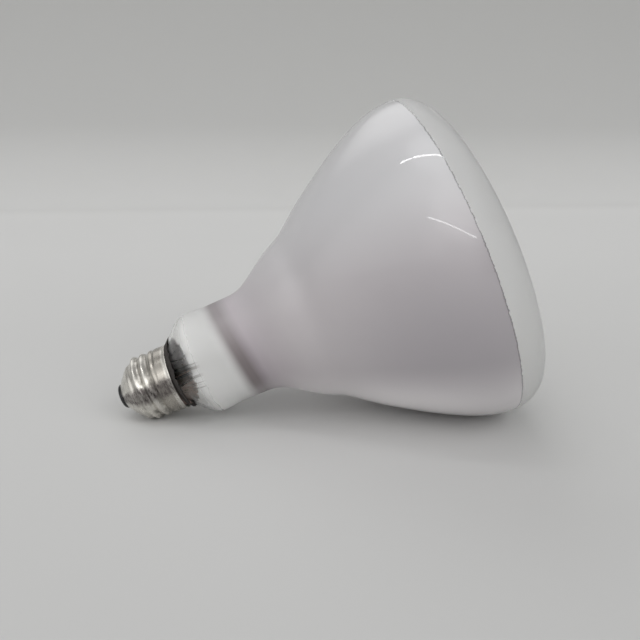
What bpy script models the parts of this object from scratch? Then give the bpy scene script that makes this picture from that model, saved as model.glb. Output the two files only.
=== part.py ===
"""Incandescent reflector bulb, five inches across, lying on its side on its widest part and its screw cap.

The lamp is modelled along its own axis, with the tip of the centre contact at zero and the domed face at the
far end. An empty then lays it down: the lamp's own +X points at the table, and the world's +Z points up.
"""
import math

import bmesh
import bpy
from mathutils import Matrix, Vector

MM = 0.001

# Clearance that every seated piece keeps to its neighbour
SEAT = 0.3 * MM

# Glass envelope: one blown piece
GLASS_WALL = 0.9 * MM
NECK_END = 18.8 * MM            # the neck's open end, inside the screw cap
SEAL_LENGTH = 4.0 * MM          # straight stretch of the neck inside the cap
THROAT_STATION = 26.6 * MM      # the funnel between the seal and the neck
THROAT_RISE = 4.05 * MM         # how much wider than the seal the funnel is there
COLLAR_FOOT = 31.0 * MM
COLLAR_FOOT_RADIUS = 18.75 * MM
COLLAR_STATION = 36.8 * MM      # the neck's slight swelling above the funnel
COLLAR_RADIUS = 20.45 * MM
WAIST_STATION = 43.0 * MM
WAIST_RADIUS = 19.8 * MM
NECK_TOP = 55.0 * MM
NECK_RADIUS = 19.97 * MM
BULGE_STATION = 67.5 * MM       # the bulged shoulder
BULGE_RADIUS = 26.2 * MM
FOLD_STATION = 78.5 * MM        # the shallow fold where the shoulder meets the cone
FOLD_RADIUS = 32.43 * MM
CONE_STATION = 86.5 * MM
CONE_RADIUS = 38.04 * MM
FLARE_STATION = 105.0 * MM
FLARE_RADIUS = 50.67 * MM
BELL_STATION = 122.0 * MM
BELL_RADIUS = 59.86 * MM
RIM_STATION = 138.0 * MM        # the widest place
RIM_RADIUS = 63.5 * MM
CORNER_RADIUS = 12.6 * MM       # the rounded corner between the rim and the face
FACE_RADIUS = 171.0 * MM        # the domed face is part of a ball
GLASS_SIDES = 48

# Screw cap shell: thin metal with a rolled round thread
CAP_WALL = 0.3 * MM
CAP_START = 2.0 * MM            # the shell's small end, round the insulator
CAP_END = 23.5 * MM             # the shell's open lip
CREST_RADIUS = 13.0 * MM
THREAD_DEPTH = 0.9 * MM
THREAD_PITCH = 3.629 * MM
THREAD_PHASE = 13.5 * MM        # a groove crosses the underside here
SHOULDER_LENGTH = 7.6 * MM
THREAD_RUN_OUT = 17.4 * MM      # the thread fades into the plain collar from here
LIP_FLARE = 0.24 * MM
LIP_LENGTH = 1.1 * MM
CAP_SIDES = 32
RINGS_PER_PITCH = 5
SHOULDER_BOW = 0.1              # how far the shoulder bows out, as a share of its spread
THREAD_RUN_IN = 0.3             # share of the shoulder's length where the thread begins
CAP_SHIFT = 0.7 * MM            # the cap was cemented on a little low, to one side and askew
CAP_SIDE_SHIFT = -0.2 * MM
CAP_LEAN = math.radians(1.7)
CAP_YAW = math.radians(1.65)

# The neck's seal leaves room inside the thread's roots for the cement and the side lead
SEAL_ROOM = 1.4 * MM
NECK_SEAL_RADIUS = CREST_RADIUS - THREAD_DEPTH - CAP_WALL - SEAL_ROOM
THROAT_RADIUS = NECK_SEAL_RADIUS + THROAT_RISE

# Insulator and contact at the tip
INSULATOR_RADIUS = 4.9 * MM
INSULATOR_TIP = 0.4 * MM
INSULATOR_BACK = 6.0 * MM
INSULATOR_BORE = 1.4 * MM
INSULATOR_ROUND = 1.1 * MM
SHOULDER_SLANT = 2.4            # how much thicker the slanting shoulder measures across the axis
CONTACT_RADIUS = 2.9 * MM
CONTACT_THICKNESS = 0.3 * MM
CONTACT_FACE = 0.6 * MM
EYELET_RADIUS = 1.1 * MM
EYELET_WALL = 0.3 * MM
EYELET_LENGTH = 3.0 * MM
TIP_SOLDER_RADIUS = 1.5 * MM
TIP_FLAT_RADIUS = 0.8 * MM      # the flat that a lampholder's contact rests on
SMALL_SIDES = 20

# Basing cement between the shell and the neck
CEMENT_START = 19.4 * MM
CEMENT_EDGE = 25.7 * MM         # mean place of the ragged edge, beyond the lip
CEMENT_RAGGED = 0.45 * MM       # how far the edge wanders to each side
CEMENT_BODY = 0.7 * MM          # thickness on the glass beyond the lip

# Stem of the mount: flare, tube and press in one piece of glass
STEM_WALL = 0.9 * MM
FLARE_SEAT = 20.3 * MM          # the flare's edge, just inside the neck's end
FLARE_HEIGHT = 7.0 * MM
STEM_RADIUS = 4.9 * MM
BORE_END = 43.0 * MM
PRESS_START = 44.0 * MM
PRESS_TOP = 54.0 * MM
PRESS_HALF_WIDTH = 6.0 * MM
PRESS_HALF_THICKNESS = 2.3 * MM
PRESS_EASE = 3.0 * MM           # over this length the tube flattens into the press
PRESS_EDGE = 0.6 * MM           # the press's rounded top edge
EXHAUST_RADIUS = 2.2 * MM
EXHAUST_WALL = 0.7 * MM
EXHAUST_TIP = 9.0 * MM
EXHAUST_NIB = 0.5 * MM          # the blunt end of the drawn tip
EXHAUST_TAPER = 3.0 * MM
EXHAUST_PLUG = 1.0 * MM         # solid glass behind the taper

# Mount: what the stem carries
OUTER_LEAD_RADIUS = 0.25 * MM
INNER_LEAD_RADIUS = 0.4 * MM
LEAD_SPREAD = 3.6 * MM          # half the distance between the leads at the press
LEAD_SPLAY = 0.4                # share of the way out to the filament at half height
SOCKET_DEPTH = 2.5 * MM
LEAD_STRAIGHT = 2.0 * MM        # straight stretch of an inner lead beyond the deflector
LEAD_RUN = 6.0 * MM             # straight stretch of an inner lead before the filament
LEAD_PAST = 1.5 * MM            # how far an inner lead passes the filament
ARBOR_RADIUS = 1.5 * MM
ARBOR_TOP = 71.0 * MM
BUTTON_RADIUS = 2.7 * MM
BUTTON_RISE = 0.82              # share of its radius by which the button's centre stands beyond the rod
DEFLECTOR_STATION = 58.0 * MM
DEFLECTOR_RADIUS = 14.0 * MM
DEFLECTOR_THICKNESS = 0.4 * MM
FILAMENT_STATION = 84.0 * MM
FILAMENT_RING = 10.0 * MM       # radius of the ring that the filament bends round
FILAMENT_COIL = 0.75 * MM       # outer radius of the coil
FILAMENT_WIRE = 0.12 * MM
FILAMENT_TURNS = 19
FILAMENT_GAP = math.radians(80)  # the opening of the ring, between the two leads
ANCHOR_RADIUS = 0.2 * MM
ANCHOR_COUNT = 4
ANCHOR_HOOK = 1.0 * MM          # how far an anchor passes the filament
FUSE_RADIUS = 0.12 * MM
FUSE_LENGTH = 5.0 * MM
FUSE_STATION = 12.0 * MM
FUSE_STEP = 0.4 * MM            # how far the centre lead steps out at the fuse link
LEAD_BEND = 2.0 * MM            # length of an outer lead's wide bend
LEAD_CORNER = 0.8 * MM          # length of an outer lead's tight bend

# Side lead and its solder joint on the cap's lip, on the far side
SIDE_SOLDER_RADIUS = 1.1 * MM
SIDE_SOLDER_HEIGHT = 0.45 * MM
SIDE_SOLDER_LENGTH = 0.9        # share of its radius along the axis
SIDE_LOOP = 3.0 * MM            # how far the side lead's loop hangs below the neck's end
SIDE_EASE = 0.1 * MM            # how little the side lead strays from its two straight runs
SIDE_STEP = 0.3 * MM
SIDE_REACH = 0.7 * MM           # how far the side lead stands out over the lip

# How far a cutter passes the faces that it goes through
CUT_PAST = 1.0 * MM


def clear_scene():
    """Starts from an empty scene."""
    for thing in list(bpy.data.objects):
        bpy.data.objects.remove(thing, do_unlink=True)


def material(name, colour, roughness, metallic=0.0):
    """A plain finish: colour, roughness and whether it is metal."""
    made = bpy.data.materials.new(name)
    made.use_nodes = True
    shader = made.node_tree.nodes["Principled BSDF"]
    shader.inputs["Base Color"].default_value = (*colour, 1.0)
    shader.inputs["Roughness"].default_value = roughness
    shader.inputs["Metallic"].default_value = metallic
    return made


def add_object(name, data, finish, parent):
    """Links an object, gives it its finish and hangs it on its parent."""
    thing = bpy.data.objects.new(name, data)
    bpy.context.collection.objects.link(thing)
    thing.parent = parent
    if finish is not None:
        data.materials.append(finish)
    return thing


def spin_mesh(name, outline, sides, closed=False):
    """Turns an outline of (station, radius) points round the axis, so that one flat side faces +X.

    With closed set, the last point of the outline is joined to the first.
    """
    work = bmesh.new()
    half_side = math.pi / sides
    ray = Vector((math.cos(half_side), math.sin(half_side), 0))
    points = [work.verts.new(ray * radius + Vector((0, 0, station))) for station, radius in outline]
    pairs = list(zip(points, points[1:]))
    if closed:
        pairs.append((points[-1], points[0]))
    edges = [work.edges.new(pair) for pair in pairs]
    bmesh.ops.spin(work, geom=points + edges, cent=(0, 0, 0), axis=(0, 0, 1), dvec=(0, 0, 0),
                   angle=2 * math.pi, steps=sides, use_merge=True, use_duplicate=False)
    bmesh.ops.remove_doubles(work, verts=work.verts, dist=0.001 * MM)
    bmesh.ops.dissolve_degenerate(work, edges=work.edges, dist=0.001 * MM)
    bmesh.ops.recalc_face_normals(work, faces=work.faces)
    mesh = bpy.data.meshes.new(name)
    work.to_mesh(mesh)
    work.free()
    mesh.shade_smooth()
    mesh.set_sharp_from_angle(angle=math.radians(40))
    return mesh


def face_outwards(mesh):
    """Makes an open skin's normals point away from the axis or along it at the face."""
    work = bmesh.new()
    work.from_mesh(mesh)
    widest = max(work.faces, key=lambda face: face.calc_center_median().xy.length)
    centre = widest.calc_center_median()
    if widest.normal.dot(Vector((centre.x, centre.y, 0))) < 0:
        bmesh.ops.reverse_faces(work, faces=work.faces)
    work.to_mesh(mesh)
    work.free()


def thicken(thing, wall):
    """Gives an open skin a wall on its inner side."""
    solid = thing.modifiers.new("wall", "SOLIDIFY")
    solid.thickness = wall
    solid.offset = -1
    solid.use_even_offset = True
    return solid


def cut(thing, cutter):
    """Takes the cutter's shape out of a piece."""
    cutter.hide_render = True
    cutter.display_type = "WIRE"
    boolean = thing.modifiers.new(cutter.name, "BOOLEAN")
    boolean.operation = "DIFFERENCE"
    boolean.solver = "EXACT"
    boolean.object = cutter
    return boolean


def wire(name, route, radius, finish, parent, sides=1):
    """A round wire along a route of points, with closed ends."""
    curve = bpy.data.curves.new(name, "CURVE")
    curve.dimensions = "3D"
    curve.bevel_depth = radius
    curve.bevel_resolution = sides
    curve.use_fill_caps = True
    line = curve.splines.new("POLY")
    line.points.add(len(route) - 1)
    for point, place in zip(line.points, route):
        point.co = (*place, 1.0)
    return add_object(name, curve, finish, parent)


def smooth_route(knots, steps):
    """Points of a smooth curve that passes through every knot."""
    ends = [knots[0] * 2 - knots[1], *knots, knots[-1] * 2 - knots[-2]]
    route = []
    for before, start, stop, after in zip(ends, ends[1:], ends[2:], ends[3:]):
        leave, arrive = (stop - before) / 2, (after - start) / 2
        for step in range(steps):
            t = step / steps
            route.append(start * (2 * t**3 - 3 * t**2 + 1) + leave * (t**3 - 2 * t**2 + t)
                         + stop * (3 * t**2 - 2 * t**3) + arrive * (t**3 - t**2))
    route.append(knots[-1])
    return route


def hermite(start, stop, steps):
    """Points between two stations, each given as (station, radius, slope), without the last."""
    (z0, r0, m0), (z1, r1, m1) = start, stop
    run = z1 - z0
    for step in range(steps):
        t = step / steps
        radius = (r0 * (2 * t**3 - 3 * t**2 + 1) + r1 * (3 * t**2 - 2 * t**3)
                  + run * (m0 * (t**3 - 2 * t**2 + t) + m1 * (t**3 - t**2)))
        yield z0 + run * t, radius


def smoothstep(low, high, value):
    """Rises smoothly from 0 at low to 1 at high."""
    t = min(max((value - low) / (high - low), 0.0), 1.0)
    return t * t * (3 - 2 * t)


def glass_stations():
    """The envelope's side as (station, radius, slope, steps to the next)."""
    return [
        (NECK_END, NECK_SEAL_RADIUS, 0.0, 1),
        (NECK_END + SEAL_LENGTH, NECK_SEAL_RADIUS, 0.3, 2),
        (THROAT_STATION, THROAT_RADIUS, 0.53, 2),
        (COLLAR_FOOT, COLLAR_FOOT_RADIUS, 0.63, 2),
        (COLLAR_STATION, COLLAR_RADIUS, 0.0, 2),
        (WAIST_STATION, WAIST_RADIUS, 0.05, 1),
        (NECK_TOP, NECK_RADIUS, 0.0, 3),
        (BULGE_STATION, BULGE_RADIUS, 0.7, 2),
        (FOLD_STATION, FOLD_RADIUS, 0.38, 2),
        (CONE_STATION, CONE_RADIUS, 0.785, 2),
        (FLARE_STATION, FLARE_RADIUS, 0.62, 2),
        (BELL_STATION, BELL_RADIUS, 0.445, 3),
        (RIM_STATION, RIM_RADIUS, 0.0, 0),
    ]


def glass_side(inset=0.0):
    """The envelope's side from the neck's end to the rim, moved towards the axis by inset."""
    stations = glass_stations()
    side = []
    for here, there in zip(stations, stations[1:]):
        side += list(hermite(here[:3], there[:3], here[3]))
    side.append((RIM_STATION, RIM_RADIUS))
    return [(station, radius - inset) for station, radius in side]


def glass_outline():
    """The envelope's whole outer outline: side, rounded corner and domed face."""
    corner = Vector((RIM_STATION, RIM_RADIUS - CORNER_RADIUS))
    reach = FACE_RADIUS - CORNER_RADIUS
    face_centre = corner.x - math.sqrt(reach**2 - corner.y**2)
    meet = math.atan2(corner.y, corner.x - face_centre)
    outline = glass_side()
    corner_steps = 4
    for step in range(1, corner_steps + 1):
        angle = math.pi / 2 + (meet - math.pi / 2) * step / corner_steps
        outline.append((corner.x + CORNER_RADIUS * math.cos(angle),
                        corner.y + CORNER_RADIUS * math.sin(angle)))
    face_steps = 4
    for step in range(1, face_steps + 1):
        angle = meet * (1 - step / face_steps)
        outline.append((face_centre + FACE_RADIUS * math.cos(angle), FACE_RADIUS * math.sin(angle)))
    return outline


def glass_radius(station):
    """The envelope's outer radius at a station of its side."""
    side = glass_side()
    for (z0, r0), (z1, r1) in zip(side, side[1:]):
        if z0 <= station <= z1:
            return r0 + (r1 - r0) * (station - z0) / (z1 - z0)
    return side[0][1]


def shell_radius(station):
    """The cap shell's outer radius before the thread is rolled in."""
    hole = INSULATOR_RADIUS + SEAT
    if station < CAP_START + SHOULDER_LENGTH:
        share = (station - CAP_START) / SHOULDER_LENGTH
        bow = math.sin(math.pi * share) * SHOULDER_BOW
        return hole + (CREST_RADIUS - hole) * (share + bow)
    return CREST_RADIUS + LIP_FLARE * smoothstep(CAP_END - LIP_LENGTH, CAP_END, station)


def thread_dip(station, angle):
    """How far the rolled thread lies below the crest line at a station and an angle round the axis."""
    turns = (station - THREAD_PHASE) / THREAD_PITCH - angle / (2 * math.pi)
    share = 0.5 + 0.5 * math.cos(2 * math.pi * turns)
    start = CAP_START + THREAD_RUN_IN * SHOULDER_LENGTH
    run_in = smoothstep(start, CAP_START + SHOULDER_LENGTH, station)
    run_out = 1 - smoothstep(THREAD_RUN_OUT, THREAD_RUN_OUT + 0.5 * THREAD_PITCH, station)
    return THREAD_DEPTH * share * run_in * run_out


def make_envelope(parent):
    """The blown glass: neck, bulged shoulder, cone and face in one wall, open only at the neck's end."""
    glass = material("envelope_glass", (0.72, 0.71, 0.74), 0.25)
    mesh = spin_mesh("glass_envelope", glass_outline(), GLASS_SIDES)
    face_outwards(mesh)
    envelope = add_object("glass_envelope", mesh, glass, parent)
    thicken(envelope, GLASS_WALL)
    return envelope


def make_shell(parent):
    """The screw shell, with its round thread rolled into the thin wall."""
    stations = [CAP_START]
    step = THREAD_PITCH / RINGS_PER_PITCH
    while stations[-1] + 1.4 * step < THREAD_RUN_OUT + 0.6 * THREAD_PITCH:
        stations.append(stations[-1] + step)
    stations += [CAP_END - LIP_LENGTH, CAP_END - LIP_LENGTH / 3, CAP_END]
    mesh = spin_mesh("screw_shell", [(z, shell_radius(z)) for z in stations], CAP_SIDES)
    for vertex in mesh.vertices:
        flat = Vector(vertex.co.xy)
        dip = thread_dip(vertex.co.z, math.atan2(flat.y, flat.x))
        flat *= (flat.length - dip) / flat.length
        vertex.co.x, vertex.co.y = flat
    face_outwards(mesh)
    shell = add_object("screw_shell", mesh, material("cap_metal", (0.72, 0.71, 0.69), 0.28, 1.0), parent)
    thicken(shell, CAP_WALL)
    return shell


def make_insulator(parent):
    """The black glass plug in the shell's small end, with a bore and a shallow seat for the contact."""
    seat_floor = CONTACT_FACE + CONTACT_THICKNESS + SEAT
    seat_radius = CONTACT_RADIUS + SEAT
    nose = []
    arc_steps = 4
    for step in range(arc_steps + 1):
        angle = math.pi / 2 * step / arc_steps
        nose.append((INSULATOR_TIP + INSULATOR_ROUND * (1 - math.cos(angle)),
                     INSULATOR_RADIUS - INSULATOR_ROUND * (1 - math.sin(angle))))
    behind = CAP_START + CAP_WALL + 3 * SEAT
    depths = [behind + (INSULATOR_BACK - behind) * share for share in (0.25, 0.6, 1.0)]
    clear = (CAP_WALL + SEAT) * SHOULDER_SLANT
    flank = [(depth, shell_radius(depth) - clear) for depth in depths]
    outline = [(seat_floor, INSULATOR_BORE), (seat_floor, seat_radius), (INSULATOR_TIP, seat_radius), *nose,
               (behind, INSULATOR_RADIUS), *flank, (INSULATOR_BACK, INSULATOR_BORE)]
    mesh = spin_mesh("insulator", outline, SMALL_SIDES, closed=True)
    return add_object("insulator", mesh, material("black_glass", (0.012, 0.012, 0.014), 0.15), parent)


def make_contact(parent):
    """The centre contact: a small metal disc with an eyelet through the insulator."""
    back = CONTACT_FACE + CONTACT_THICKNESS
    bore = EYELET_RADIUS - EYELET_WALL
    outline = [(CONTACT_FACE, bore), (CONTACT_FACE, CONTACT_RADIUS * 0.8),
               (CONTACT_FACE + CONTACT_THICKNESS * 0.4, CONTACT_RADIUS), (back, CONTACT_RADIUS),
               (back, EYELET_RADIUS), (back + EYELET_LENGTH, EYELET_RADIUS), (back + EYELET_LENGTH, bore)]
    mesh = spin_mesh("centre_contact", outline, SMALL_SIDES, closed=True)
    brass = material("contact_brass", (0.75, 0.62, 0.38), 0.35, 1.0)
    return add_object("centre_contact", mesh, brass, parent)


def make_tip_solder(parent):
    """The flattened drop of solder that closes the contact's eyelet."""
    base = CONTACT_FACE - SEAT
    dome = [(0.0, 0.0), (0.0, TIP_FLAT_RADIUS), (0.45 * base, 0.8 * TIP_SOLDER_RADIUS),
            (base, TIP_SOLDER_RADIUS), (base, 0.0)]
    mesh = spin_mesh("centre_solder", dome, SMALL_SIDES // 2)
    return add_object("centre_solder", mesh, material("tip_solder", (0.62, 0.62, 0.63), 0.4, 1.0), parent)


def ragged(angle):
    """A wander between -1 and 1 that closes on itself round the axis."""
    waves = ((5, 0.3, 0.34), (9, 1.7, 0.26), (14, 4.1, 0.24), (23, 2.2, 0.16))
    return sum(size * math.sin(count * angle + start) for count, start, size in waves)


def add_box(name, low, high, parent):
    """A plain box between two corners."""
    mesh = bpy.data.meshes.new(name)
    work = bmesh.new()
    size = [there - here for here, there in zip(low, high)]
    middle = [0.5 * (here + there) for here, there in zip(low, high)]
    place = Matrix.Translation(middle) @ Matrix.Diagonal((*size, 1.0))
    bmesh.ops.create_cube(work, size=1.0, matrix=place)
    work.to_mesh(mesh)
    work.free()
    return add_object(name, mesh, None, parent)


def add_rod(name, radius, low, high, parent):
    """A plain rod along the axis between two points that share their x and y."""
    mesh = bpy.data.meshes.new(name)
    work = bmesh.new()
    place = Matrix.Translation((low[0], low[1], 0.5 * (low[2] + high[2])))
    bmesh.ops.create_cone(work, cap_ends=True, segments=10, radius1=radius, radius2=radius,
                          depth=high[2] - low[2], matrix=place)
    work.to_mesh(mesh)
    work.free()
    return add_object(name, mesh, None, parent)


def make_cement(cap, lamp):
    """The cement ring: it fills the cap's lip and ends in a ragged edge on the glass."""
    inside = CREST_RADIUS - CAP_WALL - SEAT
    lip = CAP_END - SEAT
    middle = 0.5 * (lip + CEMENT_EDGE)
    outline = [(CEMENT_START, 0.0), (CEMENT_START, inside), (lip - LIP_LENGTH, inside), (lip, inside),
               (middle, glass_radius(middle) + SEAT + CEMENT_BODY),
               (CEMENT_EDGE, glass_radius(CEMENT_EDGE) + SEAT + CEMENT_BODY), (CEMENT_EDGE, 0.0)]
    mesh = spin_mesh("basing_cement", outline, 2 * SMALL_SIDES)
    for vertex in mesh.vertices:
        if vertex.co.z > lip + SEAT and vertex.co.xy.length > 0.5 * inside:
            angle = math.atan2(vertex.co.y, vertex.co.x)
            share = (vertex.co.z - lip) / (CEMENT_EDGE - lip)
            vertex.co.z += CEMENT_RAGGED * share * ragged(angle)
            radius = glass_radius(vertex.co.z) + SEAT + CEMENT_BODY
            vertex.co.x = radius * math.cos(angle) - CAP_SHIFT
            vertex.co.y = radius * math.sin(angle) - CAP_SIDE_SHIFT
    finish = material("cement", (0.17, 0.145, 0.125), 0.9)
    cement = add_object("basing_cement", mesh, finish, cap)
    past = CEMENT_EDGE + 4 * CEMENT_RAGGED
    before = CEMENT_START - SEAL_LENGTH
    stations = [(station, radius) for station, radius in glass_side(-SEAT) if station < past]
    outline = [(before, 0.0), (before, NECK_SEAL_RADIUS + SEAT), *stations,
               (past, glass_radius(past) + SEAT), (past, 0.0)]
    neck = spin_mesh("neck_form", outline, GLASS_SIDES)
    cut(cement, add_object("neck_form", neck, None, lamp))
    clear = OUTER_LEAD_RADIUS + SEAT
    notch = add_box("lead_notch", (-clear, NECK_SEAL_RADIUS, CEMENT_START - SEAT),
                    (clear, 2 * CREST_RADIUS, side_lead_top() + clear), cap)
    cut(cement, notch)
    return cement


def side_lead_radius():
    """How far from the cap's axis the side lead runs up through the collar."""
    return CREST_RADIUS - CAP_WALL - SEAT - OUTER_LEAD_RADIUS


def side_lead_top():
    """The height at which the side lead crosses the lip."""
    return CAP_END + SEAT + OUTER_LEAD_RADIUS


def make_stem(parent):
    """The stem: a flare that closes the neck, a tube, and the flat press that holds the leads."""
    rim = NECK_SEAL_RADIUS - GLASS_WALL - SEAT
    flare = []
    flare_steps = 5
    for step in range(flare_steps + 1):
        angle = math.pi / 2 * step / flare_steps
        flare.append((math.cos(angle), math.sin(angle)))
    mouth = [(FLARE_SEAT + FLARE_HEIGHT * (1 - along), rim - (rim - STEM_RADIUS) * across)
             for along, across in flare]
    lining = [(FLARE_SEAT + FLARE_HEIGHT - (FLARE_HEIGHT + STEM_WALL) * along,
               rim - (rim - STEM_RADIUS + STEM_WALL) * across) for along, across in flare]
    outer = [(PRESS_TOP, 0.0), (PRESS_TOP, 0.85 * STEM_RADIUS), (PRESS_TOP - PRESS_EDGE, STEM_RADIUS),
             (0.5 * (PRESS_START + PRESS_TOP), STEM_RADIUS), (PRESS_START, STEM_RADIUS),
             (0.5 * (PRESS_START + BORE_END), STEM_RADIUS), (BORE_END - 2 * STEM_WALL, STEM_RADIUS)]
    outline = outer + mouth[::-1] + lining + [(BORE_END, STEM_RADIUS - STEM_WALL), (BORE_END, 0.0)]
    mesh = spin_mesh("stem", outline, SMALL_SIDES)
    for vertex in mesh.vertices:
        if vertex.co.z > BORE_END:
            share = smoothstep(BORE_END, PRESS_START + PRESS_EASE, vertex.co.z)
            vertex.co.y *= 1 + (PRESS_HALF_WIDTH / STEM_RADIUS - 1) * share
            vertex.co.x *= 1 + (PRESS_HALF_THICKNESS / STEM_RADIUS - 1) * share
    stem = add_object("stem", mesh, material("stem_glass", (0.8, 0.84, 0.83), 0.1), parent)
    for side, name in ((1, "socket_far"), (-1, "socket_near")):
        y = side * LEAD_SPREAD
        cut(stem, add_rod(name, INNER_LEAD_RADIUS + SEAT, (0, y, PRESS_TOP - SOCKET_DEPTH),
                          (0, y, PRESS_TOP + SOCKET_DEPTH), parent))
    return stem


def make_exhaust(parent):
    """The exhaust tube inside the stem, drawn to a closed tip in the cap."""
    top = BORE_END - SEAT
    bore = EXHAUST_RADIUS - EXHAUST_WALL
    drawn = EXHAUST_TIP + EXHAUST_TAPER
    outline = [(EXHAUST_TIP, 0.0), (EXHAUST_TIP + EXHAUST_NIB, 0.35 * EXHAUST_RADIUS),
               (drawn, EXHAUST_RADIUS), (top, EXHAUST_RADIUS), (top, bore),
               (drawn + EXHAUST_PLUG, bore), (drawn, 0.0)]
    mesh = spin_mesh("exhaust_tube", outline, SMALL_SIDES // 2)
    return add_object("exhaust_tube", mesh, material("exhaust_glass", (0.8, 0.84, 0.83), 0.1), parent)


def make_outer_leads(cap, lamp):
    """The two outer leads below the press, the fuse link in one of them, and the side solder joint."""
    copper = material("lead_copper", (0.72, 0.45, 0.3), 0.4, 1.0)
    inside_stem = 0.5 * (EXHAUST_RADIUS + STEM_RADIUS - STEM_WALL)
    top = BORE_END - SEAT
    above_flare = FLARE_SEAT + FLARE_HEIGHT
    fuse_top = FUSE_STATION + FUSE_LENGTH
    fuse_side = -inside_stem - FUSE_STEP
    wire("outer_lead_centre", smooth_route([
        Vector((0, -inside_stem, top)), Vector((0, -inside_stem, above_flare)),
        Vector((0, fuse_side, fuse_top + LEAD_BEND)), Vector((0, fuse_side, fuse_top)),
    ], 3), OUTER_LEAD_RADIUS, copper, lamp)
    fuse = material("fuse_alloy", (0.6, 0.58, 0.55), 0.4, 1.0)
    wire("fuse_link", [Vector((0, fuse_side, fuse_top - SEAT)), Vector((0, fuse_side, FUSE_STATION + SEAT))],
         FUSE_RADIUS, fuse, lamp)
    wire("outer_lead_tip", smooth_route([
        Vector((0, fuse_side, FUSE_STATION)), Vector((0, -inside_stem, FUSE_STATION - LEAD_BEND)),
        Vector((0, -0.3 * inside_stem, INSULATOR_BACK + LEAD_CORNER)),
        Vector((0, 0, INSULATOR_BACK - 0.5 * LEAD_BEND)),
        Vector((0, 0, CONTACT_FACE)),
    ], 3), OUTER_LEAD_RADIUS, copper, cap)
    over = side_lead_top()
    path = side_lead_radius()
    in_thread = CREST_RADIUS - THREAD_DEPTH - CAP_WALL - SEAT - OUTER_LEAD_RADIUS
    below_neck = NECK_END - SIDE_LOOP
    outside = CREST_RADIUS + LIP_FLARE
    wire("outer_lead_side", smooth_route([
        Vector((0, inside_stem, top)), Vector((0, inside_stem, above_flare)),
        Vector((0, inside_stem + SIDE_STEP, NECK_END)), Vector((0, 0.5 * in_thread, below_neck)),
        Vector((0, in_thread - 1.5 * LEAD_CORNER, below_neck - SIDE_STEP)),
        Vector((0, in_thread, NECK_END - LEAD_CORNER)), Vector((0, in_thread + SIDE_EASE, CEMENT_START)),
        Vector((0, path, CEMENT_START + 2 * LEAD_CORNER)), Vector((0, path, CAP_END - LEAD_CORNER)),
        Vector((0, path + SIDE_EASE, over - 2 * SIDE_EASE)), Vector((0, path + 5 * SIDE_EASE, over)),
        Vector((0, outside + SIDE_REACH, over)),
    ], 3), OUTER_LEAD_RADIUS, copper, cap)
    drop = bpy.data.meshes.new("side_solder")
    work = bmesh.new()
    bmesh.ops.create_uvsphere(work, u_segments=12, v_segments=8, radius=SIDE_SOLDER_RADIUS)
    work.to_mesh(drop)
    work.free()
    drop.transform(Matrix.Diagonal((1.0, SIDE_SOLDER_HEIGHT / SIDE_SOLDER_RADIUS, SIDE_SOLDER_LENGTH, 1.0)))
    drop.transform(Matrix.Translation((0, outside + SEAT + SIDE_SOLDER_HEIGHT,
                                       CAP_END - SIDE_SOLDER_RADIUS * SIDE_SOLDER_LENGTH)))
    drop.shade_smooth()
    add_object("side_solder", drop, material("lip_solder", (0.62, 0.62, 0.63), 0.4, 1.0), cap)


def filament_end(side):
    """Where a lead holds the filament's end; side is 1 or -1."""
    angle = math.pi - side * 0.5 * FILAMENT_GAP
    return Vector((FILAMENT_RING * math.cos(angle), FILAMENT_RING * math.sin(angle), FILAMENT_STATION))


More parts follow.
